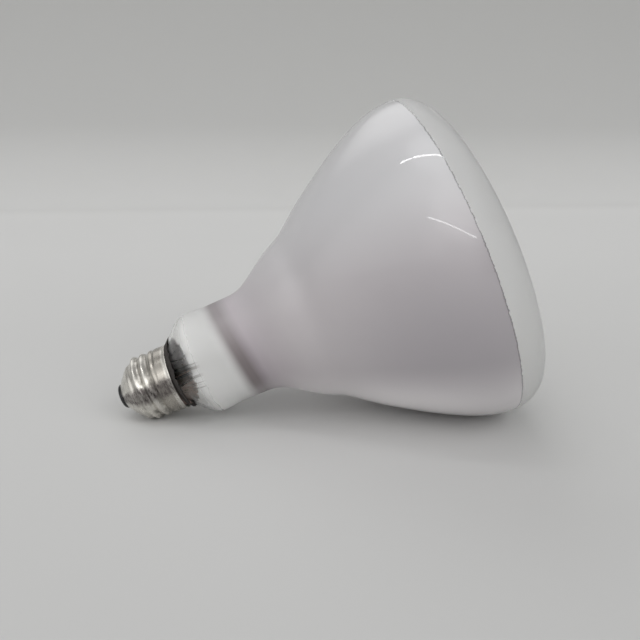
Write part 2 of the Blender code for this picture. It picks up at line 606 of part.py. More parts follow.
def make_mount(lamp):
    """The inner leads, the glass arbor with its button, the deflector, the anchors and the filament."""
    nickel = material("lead_nickel", (0.66, 0.64, 0.6), 0.35, 1.0)
    hold = FILAMENT_COIL + SEAT + INNER_LEAD_RADIUS
    for side, name in ((1, "inner_lead_far"), (-1, "inner_lead_near")):
        end = filament_end(side)
        out = Vector((end.x, end.y, 0)).normalized() * hold
        wire(name, smooth_route([
            Vector((0, side * LEAD_SPREAD, PRESS_TOP - SOCKET_DEPTH + SEAT)),
            Vector((0, side * LEAD_SPREAD, DEFLECTOR_STATION + LEAD_STRAIGHT)),
            Vector((LEAD_SPLAY * end.x, side * LEAD_SPREAD + LEAD_SPLAY * (end.y - side * LEAD_SPREAD),
                    0.5 * (DEFLECTOR_STATION + ARBOR_TOP))),
            Vector((end.x + out.x, end.y + out.y, FILAMENT_STATION - LEAD_RUN)),
            Vector((end.x + out.x, end.y + out.y, FILAMENT_STATION + LEAD_PAST)),
        ], 4), INNER_LEAD_RADIUS, nickel, lamp)
    base = PRESS_TOP + SEAT
    outline = [(base, 0.0), (base, ARBOR_RADIUS), (ARBOR_TOP, ARBOR_RADIUS)]
    button = ARBOR_TOP + BUTTON_RISE * BUTTON_RADIUS
    button_steps = 5
    for step in range(1, button_steps + 1):
        angle = math.radians(145) * (1 - step / button_steps)
        outline.append((button + BUTTON_RADIUS * math.cos(angle), BUTTON_RADIUS * math.sin(angle)))
    mesh = spin_mesh("arbor", outline, SMALL_SIDES // 2)
    add_object("arbor", mesh, material("arbor_glass", (0.8, 0.84, 0.83), 0.1), lamp)
    top = DEFLECTOR_STATION + DEFLECTOR_THICKNESS
    ring = [(DEFLECTOR_STATION, ARBOR_RADIUS + SEAT), (DEFLECTOR_STATION, DEFLECTOR_RADIUS),
            (top, DEFLECTOR_RADIUS), (top, ARBOR_RADIUS + SEAT)]
    mesh = spin_mesh("heat_deflector", ring, SMALL_SIDES, closed=True)
    sheet = material("deflector_metal", (0.8, 0.8, 0.8), 0.35, 1.0)
    deflector = add_object("heat_deflector", mesh, sheet, lamp)
    for side, name in ((1, "lead_hole_far"), (-1, "lead_hole_near")):
        y = side * LEAD_SPREAD
        cut(deflector, add_rod(name, INNER_LEAD_RADIUS + SEAT, (0, y, DEFLECTOR_STATION - CUT_PAST),
                               (0, y, top + CUT_PAST), lamp))
    steel = material("anchor_steel", (0.6, 0.6, 0.62), 0.35, 1.0)
    arc = 2 * math.pi - FILAMENT_GAP
    for number in range(ANCHOR_COUNT):
        angle = -0.5 * arc + arc * (number + 0.5) / ANCHOR_COUNT
        ray = Vector((math.cos(angle), math.sin(angle), 0))
        up = Vector((0, 0, 1))
        start = ray * (BUTTON_RADIUS + SEAT + ANCHOR_RADIUS) + up * button
        reach = FILAMENT_RING - FILAMENT_COIL - SEAT - ANCHOR_RADIUS
        halfway = 0.55 * reach + 0.45 * BUTTON_RADIUS
        half_height = 0.5 * (ARBOR_TOP + FILAMENT_STATION) + ANCHOR_HOOK
        wire(f"anchor_{number + 1}", smooth_route([
            start, ray * halfway + up * half_height,
            ray * reach + up * FILAMENT_STATION, ray * reach + up * (FILAMENT_STATION + ANCHOR_HOOK),
        ], 3), ANCHOR_RADIUS, steel, lamp, sides=0)
    tungsten = material("tungsten", (0.4, 0.4, 0.41), 0.45, 1.0)
    points_per_turn = 6
    count = FILAMENT_TURNS * points_per_turn
    route = []
    for number in range(count + 1):
        angle = -0.5 * arc + arc * number / count
        turn = 2 * math.pi * number / points_per_turn
        radius = FILAMENT_RING + (FILAMENT_COIL - FILAMENT_WIRE) * math.cos(turn)
        height = FILAMENT_STATION + (FILAMENT_COIL - FILAMENT_WIRE) * math.sin(turn)
        route.append(Vector((radius * math.cos(angle), radius * math.sin(angle), height)))
    wire("filament", route, FILAMENT_WIRE, tungsten, lamp, sides=0)


def lay_down(lamp, resting):
    """Turns the lamp so that its cap and its wide end both touch the table, and centres it there."""
    bpy.context.view_layer.update()
    graph = bpy.context.evaluated_depsgraph_get()
    points = {}
    for thing in resting:
        shape = thing.evaluated_get(graph)
        place = lamp.matrix_world.inverted() @ thing.matrix_world
        points[thing.name] = [place @ vertex.co for vertex in shape.data.vertices]
    wide = [(p.z, p.x) for p in points["glass_envelope"] if p.z > FOLD_STATION]
    small = [(p.z, p.x) for p in points["screw_shell"]]
    tilt = min(max(math.atan2(wx - sx, wz - sz) for wz, wx in wide) for sz, sx in small if sx > 0)
    turn = Matrix.Rotation(math.pi / 2 - tilt, 4, "Y")
    spread = [turn @ p for name in points for p in points[name]]
    low = Vector([min(p[axis] for p in spread) for axis in range(3)])
    high = Vector([max(p[axis] for p in spread) for axis in range(3)])
    lamp.matrix_world = Matrix.Translation((-0.5 * (low.x + high.x), -0.5 * (low.y + high.y), -low.z)) @ turn


def main():
    """Builds the lamp piece by piece and lays it down."""
    clear_scene()
    lamp = bpy.data.objects.new("lamp_axis", None)
    bpy.context.collection.objects.link(lamp)
    cap = bpy.data.objects.new("cap_axis", None)
    bpy.context.collection.objects.link(cap)
    cap.parent = lamp
    pivot = Matrix.Translation((0, 0, CAP_END))
    askew = Matrix.Rotation(CAP_LEAN, 4, "Y") @ Matrix.Rotation(CAP_YAW, 4, "X")
    shift = Matrix.Translation((CAP_SHIFT, CAP_SIDE_SHIFT, 0))
    cap.matrix_local = shift @ pivot @ askew @ pivot.inverted()
    envelope = make_envelope(lamp)
    shell = make_shell(cap)
    insulator = make_insulator(cap)
    make_contact(cap)
    solder = make_tip_solder(cap)
    make_cement(cap, lamp)
    make_stem(lamp)
    make_exhaust(lamp)
    make_outer_leads(cap, lamp)
    make_mount(lamp)
    lay_down(lamp, (envelope, shell, insulator, solder))


main()
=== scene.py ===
"""Looks of the reflector bulb: blown glass with its mirror film, rolled screw cap, cement and mount.

Every piece is built in millimetres in the lamp's own frame or the cap's, with the axis along +Z from the cap's
tip to the domed face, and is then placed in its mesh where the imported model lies. There x points to the lamp's
underside and y to its far side. A pair named as a step is the value where a mask is 0 and the one where it is 1.
"""
import logging
import math
from dataclasses import dataclass, field
from enum import Enum
from typing import List, Sequence, Tuple

import bmesh
import bpy
from mathutils import Matrix, Vector


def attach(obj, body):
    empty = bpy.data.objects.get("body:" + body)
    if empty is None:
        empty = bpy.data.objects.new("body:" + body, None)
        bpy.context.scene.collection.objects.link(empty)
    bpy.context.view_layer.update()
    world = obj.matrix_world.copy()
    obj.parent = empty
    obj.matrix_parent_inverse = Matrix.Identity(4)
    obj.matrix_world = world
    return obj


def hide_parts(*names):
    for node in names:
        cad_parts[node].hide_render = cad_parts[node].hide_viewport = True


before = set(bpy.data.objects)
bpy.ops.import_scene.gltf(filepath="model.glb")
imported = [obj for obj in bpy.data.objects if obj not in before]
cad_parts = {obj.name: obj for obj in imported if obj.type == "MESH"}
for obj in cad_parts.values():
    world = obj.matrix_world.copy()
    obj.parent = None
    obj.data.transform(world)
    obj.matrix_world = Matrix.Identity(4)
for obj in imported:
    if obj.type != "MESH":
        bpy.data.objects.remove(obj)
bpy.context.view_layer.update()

MM = 0.001
MERGE = 1e-4
SHARP = math.radians(35)
LOG = logging.getLogger("reflector_bulb")

Point = Tuple[float, float]
Place = Tuple[float, float, float]
Colour = Tuple[float, float, float]
Wave = Tuple[float, ...]
Socket = bpy.types.NodeSocket
Shape = bmesh.types.BMesh


class Skin(Enum):
    """The two sides of the blown glass wall, by material index."""

    OUTSIDE = 0
    INSIDE = 1


class Shading(Enum):
    """How a piece's faces are shaded."""

    SMOOTH = "smooth"
    BY_ANGLE = "by_angle"


@dataclass(frozen=True)
class LampFrame:
    """How the lamp lies on the table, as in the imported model."""

    tilt: float = math.radians(22.61757)
    foot: Place = (-79.226, 0.0, 8.219)

    def matrix(self) -> Matrix:
        """Returns the placement of the lamp's own frame, from millimetres to metres."""
        turn = Matrix.Rotation(math.pi / 2 - self.tilt, 4, "Y")
        return Matrix.Scale(MM, 4) @ Matrix.Translation(self.foot) @ turn


@dataclass(frozen=True)
class CapFrame:
    """How the screw cap sits on the lamp: a little low, to one side and askew."""

    lip: float = 23.5
    shift: Place = (0.7, -0.2, 0.0)
    lean: float = math.radians(1.7)
    yaw: float = math.radians(1.65)

    def matrix(self, lamp: LampFrame) -> Matrix:
        """Returns the placement of the cap's own frame.

        Args:
            lamp: the frame of the lamp that carries the cap.

        Returns:
            The matrix from the cap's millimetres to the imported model's metres.
        """
        pivot = Matrix.Translation((0.0, 0.0, self.lip))
        askew = Matrix.Rotation(self.lean, 4, "Y") @ Matrix.Rotation(self.yaw, 4, "X")
        return lamp.matrix() @ Matrix.Translation(self.shift) @ pivot @ askew @ pivot.inverted()


LAMP = LampFrame()
CAP = CapFrame()


def smoothstep(low: float, high: float, value: float) -> float:
    """Rises smoothly from 0 at low to 1 at high."""
    share = min(max((value - low) / (high - low), 0.0), 1.0)
    return share * share * (3.0 - 2.0 * share)


def hermite(start: Place, stop: Place, steps: int) -> List[Point]:
    """Gives points between two stations of a turned outline, without the last.

    Args:
        start: station, radius and slope at the beginning.
        stop: station, radius and slope at the end.
        steps: how many points to give.

    Returns:
        The points as (station, radius).
    """
    (z0, r0, m0), (z1, r1, m1) = start, stop
    run = z1 - z0
    points = []
    for step in range(steps):
        t = step / steps
        radius = (r0 * (2 * t**3 - 3 * t**2 + 1) + r1 * (3 * t**2 - 2 * t**3)
                  + run * (m0 * (t**3 - 2 * t**2 + t) + m1 * (t**3 - t**2)))
        points.append((z0 + run * t, radius))
    return points


def eased(outline: Sequence[Point], rounds: int) -> List[Point]:
    """Smooths an outline between its two ends.

    Args:
        outline: the points to smooth.
        rounds: how often each point moves towards the middle of its neighbours.

    Returns:
        The smoothed points.
    """
    points = [Vector(point) for point in outline]
    for _ in range(rounds):
        inner = [(before + 2.0 * here + after) / 4.0
                 for before, here, after in zip(points, points[1:], points[2:])]
        points = [points[0], *inner, points[-1]]
    return [(point.x, point.y) for point in points]


def inset(outline: Sequence[Point], wall: float) -> List[Point]:
    """Moves an outline towards the axis by a wall's thickness, square to itself.

    Args:
        outline: points from the open end to the axis.
        wall: the wall's thickness.

    Returns:
        The inner outline, in the same order.
    """
    moved = []
    for index, (station, radius) in enumerate(outline):
        before = Vector(outline[max(index - 1, 0)])
        after = Vector(outline[min(index + 1, len(outline) - 1)])
        along = (after - before).normalized()
        moved.append((station + along.y * wall, max(radius - along.x * wall, 0.0)))
    moved[-1] = (outline[-1][0] - wall, 0.0)
    return moved


def spun(outline: Sequence[Point], steps: int, closed: bool = False) -> Shape:
    """Turns an outline of (station, radius) points once round the axis.

    Args:
        outline: the points, in millimetres.
        steps: how many sides the turned piece has.
        closed: whether the last point is joined to the first.

    Returns:
        The turned mesh, with its faces pointing outwards.
    """
    work = bmesh.new()
    order = work.verts.layers.int.new("order")
    points = []
    for index, (station, radius) in enumerate(outline):
        point = work.verts.new((radius, 0.0, station))
        point[order] = index
        points.append(point)
    pairs = list(zip(points, points[1:]))
    if closed:
        pairs.append((points[-1], points[0]))
    edges = [work.edges.new(pair) for pair in pairs]
    bmesh.ops.spin(work, geom=points + edges, cent=(0, 0, 0), axis=(0, 0, 1), dvec=(0, 0, 0),
                   angle=math.tau, steps=steps, use_merge=True, use_duplicate=False)
    bmesh.ops.remove_doubles(work, verts=work.verts, dist=MERGE)
    bmesh.ops.dissolve_degenerate(work, edges=work.edges, dist=MERGE)
    bmesh.ops.recalc_face_normals(work, faces=work.faces)
    return work


def face_outwards(work: Shape) -> None:
    """Turns a closed turned piece the right way out, judged by its widest face.

    Args:
        work: the piece's mesh.
    """
    bmesh.ops.recalc_face_normals(work, faces=work.faces)
    widest = max(work.faces, key=lambda face: face.calc_center_median().xy.length)
    centre = widest.calc_center_median()
    if widest.normal.dot(Vector((centre.x, centre.y, 0.0))) < 0.0:
        bmesh.ops.reverse_faces(work, faces=work.faces)


def wound(route: Sequence[Vector], radius: float, sides: int) -> Shape:
    """Draws a round wire along a route.

    Args:
        route: the wire's middle line, in millimetres.
        radius: the wire's radius.
        sides: how many extra sides each quarter has.

    Returns:
        The wire as a closed mesh.
    """
    curve = bpy.data.curves.new("wire_route", "CURVE")
    curve.dimensions = "3D"
    curve.bevel_depth = radius
    curve.bevel_resolution = sides
    curve.use_fill_caps = True
    line = curve.splines.new("POLY")
    line.points.add(len(route) - 1)
    for point, place in zip(line.points, route):
        point.co = (*place, 1.0)
    carrier = stand("wire_route", curve)
    drawn = bpy.data.meshes.new_from_object(carrier)
    work = bmesh.new()
    work.from_mesh(drawn)
    bpy.data.objects.remove(carrier, do_unlink=True)
    bpy.data.meshes.remove(drawn)
    bmesh.ops.remove_doubles(work, verts=work.verts, dist=MERGE)
    bmesh.ops.recalc_face_normals(work, faces=work.faces)
    return work


def stand(name: str, data: bpy.types.ID) -> bpy.types.Object:
    """Puts an object into the scene.

    Args:
        name: the object's name.
        data: its mesh, curve, light or camera.

    Returns:
        The object.
    """
    item = bpy.data.objects.new(name, data)
    bpy.context.scene.collection.objects.link(item)
    return item


def settle(work: Shape, name: str, finishes: Sequence[bpy.types.Material], matrix: Matrix,
           shading: Shading) -> bpy.types.Object:
    """Turns a mesh under construction into an object at the origin.

    Args:
        work: the mesh, in its own units.
        name: the object's name.
        finishes: its materials, by material index.
        matrix: where the mesh lies.
        shading: how its faces are shaded.

    Returns:
        The object.
    """
    mesh = bpy.data.meshes.new(name)
    work.to_mesh(mesh)
    work.free()
    mesh.transform(matrix)
    mesh.shade_smooth()
    if shading is Shading.BY_ANGLE:
        mesh.set_sharp_from_angle(angle=SHARP)
    for finish in finishes:
        mesh.materials.append(finish)
    return stand(name, mesh)


def place_piece(work: Shape, name: str, finishes: Sequence[bpy.types.Material], matrix: Matrix,
                nodes: Sequence[str], shading: Shading = Shading.SMOOTH) -> bpy.types.Object:
    """Turns a mesh under construction into a finished piece that stands for its CAD nodes.

    Args:
        work: the mesh, in its own millimetres.
        name: the piece's name.
        finishes: its materials, by material index.
        matrix: where it lies.
        nodes: the CAD nodes that it stands for.
        shading: how its faces are shaded.

    Returns:
        The piece, at the origin, riding on the lamp's body.
    """
    piece = settle(work, name, finishes, matrix, shading)
    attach(piece, "root")
    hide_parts(*nodes)
    return piece


def redress(node: str, finish: bpy.types.Material) -> bpy.types.Object:
    """Gives a CAD node that keeps its shape its own finish.

    Args:
        node: the node's name.
        finish: its material.

    Returns:
        The node's object.
    """
    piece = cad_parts[node]
    for index in range(len(piece.material_slots)):
        piece.material_slots[index].material = finish
    if not piece.material_slots:
        piece.data.materials.append(finish)
    return piece


class Graph:
    """Builds one tree of nodes."""

    def __init__(self, tree: bpy.types.NodeTree) -> None:
        """Starts on a tree."""
        self.tree = tree

    def node(self, kind: str, **settings: object) -> bpy.types.Node:
        """Adds a node.

        Args:
            kind: its type, without the prefix that all have.
            settings: its own settings by name.

        Returns:
            The node.
        """
        node = self.tree.nodes.new("ShaderNode" + kind)
        for setting, value in settings.items():
            setattr(node, setting, value)
        return node

    def put(self, socket: Socket, value: object) -> None:
        """Sets a socket to a number or wires it to another socket.

        Args:
            socket: the socket that receives.
            value: the number, the numbers or the other socket.
        """
        if isinstance(value, Socket):
            self.tree.links.new(value, socket)
        else:
            socket.default_value = value

    def split(self, place: Socket) -> Tuple[Socket, ...]:
        """Gives a place's three parts."""
        node = self.node("SeparateXYZ")
        self.put(node.inputs["Vector"], place)
        return tuple(node.outputs)

    def math(self, operation: str, *values: object, clamp: bool = False) -> Socket:
        """Works out one number.

        Args:
            operation: the Math node's operation.
            values: numbers or sockets.
            clamp: whether the result is kept between 0 and 1.

        Returns:
            The result's socket.
        """
        node = self.node("Math", operation=operation, use_clamp=clamp)
        for socket, value in zip(node.inputs, values):
            self.put(socket, value)
        return node.outputs["Value"]

    def times(self, value: Socket, *others: object) -> Socket:
        """Multiplies a value by others.

        Args:
            value: the first socket.
            others: numbers or sockets.

        Returns:
            The product's socket.
        """
        for other in others:
            value = self.math("MULTIPLY", value, other)
        return value

    def rest(self, share: Socket) -> Socket:
        """Gives what a share leaves of 1."""
        return self.math("SUBTRACT", 1.0, share)

    def sway(self, wave: Socket, width: float) -> Socket:
        """Moves a value that wanders round one half to wander round 0, by a width in all."""
        return self.times(self.math("SUBTRACT", wave, 0.5), width)

    def radius(self, x: Socket, y: Socket) -> Socket:
        """Gives the distance from the axis."""
        return self.math("SQRT", self.math("ADD", self.times(x, x), self.times(y, y)))

    def vector(self, operation: str, place: Socket, other: Sequence[float], result: str = "Value") -> Socket:
        """Works with a place and three numbers.

        Args:
            operation: the Vector Math node's operation.
            place: the place.
            other: the three numbers.
            result: which of the node's results is wanted.

        Returns:
            The result's socket.
        """
        node = self.node("VectorMath", operation=operation)
        self.put(node.inputs[0], place)
        node.inputs[1].default_value = other
        return node.outputs[result]

    def plane(self, place: Socket, slopes: Place, offset: float) -> Socket:
        """Gives the signed distance along the axis from a slanted plane."""
        return self.math("SUBTRACT", self.vector("DOT_PRODUCT", place, slopes), offset)

    def reach(self, place: Socket, centre: Place) -> Socket:
        """Gives the distance from a place to a centre."""
        return self.vector("DISTANCE", place, centre)

    def scale(self, place: Socket, factors: Place) -> Socket:
        """Stretches a place along its three directions."""
        return self.vector("MULTIPLY", place, factors, "Vector")

    def step(self, value: object, low: float, high: float) -> Socket:
        """Rises smoothly from 0 to 1.

        Args:
            value: the value that it follows.
            low: where it is 0, which may be the larger.
            high: where it is 1.

        Returns:
            The result's socket.
        """
        node = self.node("MapRange", interpolation_type="SMOOTHSTEP")
        rises = low < high
        ends = (low, high, 0.0, 1.0) if rises else (high, low, 1.0, 0.0)
        self.put(node.inputs["Value"], value)
        for name, end in zip(("From Min", "From Max", "To Min", "To Max"), ends):
            node.inputs[name].default_value = end
        return node.outputs["Result"]

    def window(self, value: Socket, rise: Point, fall: Point) -> Socket:
        """Gives 1 between a rising and a falling step."""
        return self.times(self.step(value, *rise), self.step(value, *fall))

    def noise(self, place: Socket, size: float, detail: float = 2.0, roughness: float = 0.5) -> Socket:
        """Gives a wandering value round one half.

        Args:
            place: the place, in millimetres.
            size: the size of one wave, in millimetres.
            detail: how many finer waves are added.
            roughness: how strong the finer waves are.

        Returns:
            The value's socket.
        """
        node = self.node("TexNoise")
        self.put(node.inputs["Vector"], place)
        for name, value in (("Scale", 1.0 / size), ("Detail", detail), ("Roughness", roughness)):
            node.inputs[name].default_value = value
        return node.outputs["Fac"]

    def ramp(self, value: Socket, stops: Sequence[Tuple[float, Colour]]) -> Socket:
        """Turns a value between 0 and 1 into a colour.

        Args:
            value: the value.
            stops: the places and colours of the ramp.

        Returns:
            The colour's socket.
        """
        node = self.node("ValToRGB")
        elements = node.color_ramp.elements
        for element, (position, colour) in zip(elements, (stops[0], stops[-1])):
            element.position, element.color = position, (*colour, 1.0)
        for position, colour in stops[1:-1]:
            elements.new(position).color = (*colour, 1.0)
        self.put(node.inputs["Fac"], value)
        return node.outputs["Color"]

    def mix(self, share: object, first: object, second: object, way: str = "MIX") -> Socket:
        """Mixes two colours.

        Args:
            share: 0 for the first colour, 1 for the second.
            first: a colour or a socket.
            second: a colour or a socket.
            way: the Mix node's blend type.

        Returns:
            The mixed colour's socket.
        """
        node = self.node("Mix", data_type="RGBA", blend_type=way)
        sockets = [socket for socket in node.inputs if socket.type == "RGBA"]
        self.put(node.inputs["Factor"], share)
        for socket, value in zip(sockets, (first, second)):
            self.put(socket, (*value, 1.0) if isinstance(value, tuple) else value)
        return [socket for socket in node.outputs if socket.type == "RGBA"][0]

    def blend(self, share: object, first: object, second: object) -> Socket:
        """Mixes two numbers.

        Args:
            share: 0 for the first, 1 for the second.
            first: a number or a socket.
            second: a number or a socket.

        Returns:
            The mixed number's socket.
        """
        node = self.node("Mix", data_type="FLOAT")
        self.put(node.inputs["Factor"], share)
        sockets = [socket for socket in node.inputs if socket.name in ("A", "B") and socket.type == "VALUE"]
        for socket, value in zip(sockets, (first, second)):
            self.put(socket, value)
        return [socket for socket in node.outputs if socket.type == "VALUE"][0]


class Finish(Graph):
    """Builds one material, with its shader ready to be wired."""

    def __init__(self, name: str, colour: Colour, roughness: float, metallic: float = 0.0) -> None:
        """Starts a material.

        Args:
            name: the material's name.
            colour: its plain colour.
            roughness: its plain roughness.
            metallic: 1 for a metal.
        """
        self.material = bpy.data.materials.new(name)
        self.material.use_nodes = True
        super().__init__(self.material.node_tree)
        self.shader = self.tree.nodes["Principled BSDF"]
        self.shader.distribution = "MULTI_GGX"
        self.feed("Base Color", (*colour, 1.0))
        self.feed("Roughness", roughness)
        self.feed("Metallic", metallic)

    def feed(self, socket: str, value: object) -> None:
        """Sets one of the shader's sockets to a number or wires it to another socket."""
        self.put(self.shader.inputs[socket], value)

    def own(self, matrix: Matrix) -> Socket:
        """Gives places in the piece's own frame, in millimetres.

        Args:
            matrix: the frame's placement, from millimetres to metres.

        Returns:
            The socket that holds the place.
        """
        where, turn, _ = matrix.decompose()
        mapping = self.node("Mapping", vector_type="TEXTURE")
        mapping.inputs["Location"].default_value = where
        mapping.inputs["Rotation"].default_value = turn.to_euler("XYZ")
        mapping.inputs["Scale"].default_value = (MM, MM, MM)
        self.put(mapping.inputs["Vector"], self.node("TexCoord").outputs["Object"])
        return mapping.outputs["Vector"]

    def bump(self, height: Socket, distance: float, strength: float = 1.0) -> None:
        """Wires a height into the shader's normal.

        Args:
            height: the height, between 0 and 1.
            distance: the full height, in millimetres.
            strength: how much of it shows.
        """
        node = self.node("Bump")
        node.inputs["Distance"].default_value = distance * MM
        node.inputs["Strength"].default_value = strength
        self.put(node.inputs["Height"], height)
        self.feed("Normal", node.outputs["Normal"])


@dataclass(frozen=True)
class FilmMasks:
    """Sockets for a place on the glass: millimetres first, then covers between 0 and 1."""

    beyond: Socket
    rim: Socket
    station: Socket
    cover: Socket
    face: Socket
    etched: Socket
    milk: Socket


@dataclass(frozen=True)
class FilmEdges:
    """Where the mirror film ends on the glass, as slanted planes in the lamp's own frame."""

    neck: float = 49.65
    neck_slopes: Place = (-0.1125, 0.0975, 1.0)
    neck_step: Point = (-6.6, -0.8)
    rim: float = 137.83
    rim_slopes: Place = (0.0182, 0.0, 1.0)
    rim_step: Point = (-0.08, 0.08)
    chips: Wave = (1.3, 4.0, 0.65)
    chip_depth: float = 1.1
    frost_step: Point = (30.0, 38.0)
    frost: Wave = (6.0, 1.5)
    frost_depth: float = 2.5
    milk_step: Point = (30.0, 35.0)

    def masks(self, graph: Graph, place: Socket) -> FilmMasks:
        """Gives the film's masks.

        Args:
            graph: the finish under construction.
            place: the place, in the lamp's own frame.

        Returns:
            The masks, with beyond and rim as the distances past the film's two edges.
        """
        station = graph.split(place)[2]
        beyond = graph.plane(place, self.neck_slopes, self.neck)
        chips = graph.sway(graph.noise(place, *self.chips), self.chip_depth)
        rim = graph.math("ADD", graph.plane(place, self.rim_slopes, self.rim), chips)
        face = graph.step(rim, *self.rim_step)
        ragged = graph.sway(graph.noise(place, *self.frost), self.frost_depth)
        frost = graph.step(graph.math("ADD", station, ragged), *self.frost_step)
        return FilmMasks(beyond, rim, station, graph.times(graph.step(beyond, *self.neck_step), graph.rest(face)),
                         face, graph.math("MAXIMUM", frost, face), graph.step(station, *self.milk_step))


@dataclass(frozen=True)
class FineLines:
    """A few thin dark lines along the neck, inside a window, like the wires behind the glass."""

    line_step: Point
    stations: Tuple[Point, Point]
    across: Tuple[Point, Point]
    depth_step: Point
    stretch: Place = (1.0, 0.02, 0.02)
    size: float = 0.9

    def mask(self, graph: Graph, place: Socket) -> Socket:
        """Gives the lines' mask.

        Args:
            graph: the finish under construction.
            place: the place, in the lamp's own frame.

        Returns:
            The socket, 1 on a line.
        """
        x, y, station = graph.split(place)
        lines = graph.step(graph.noise(graph.scale(place, self.stretch), self.size, 0.0), *self.line_step)
        return graph.times(lines, graph.window(station, *self.stations), graph.window(x, *self.across),
                           graph.step(y, *self.depth_step))


EDGES = FilmEdges()
THIN_GLASS = 1.22
WHITE: Colour = (1.0, 1.0, 1.0)


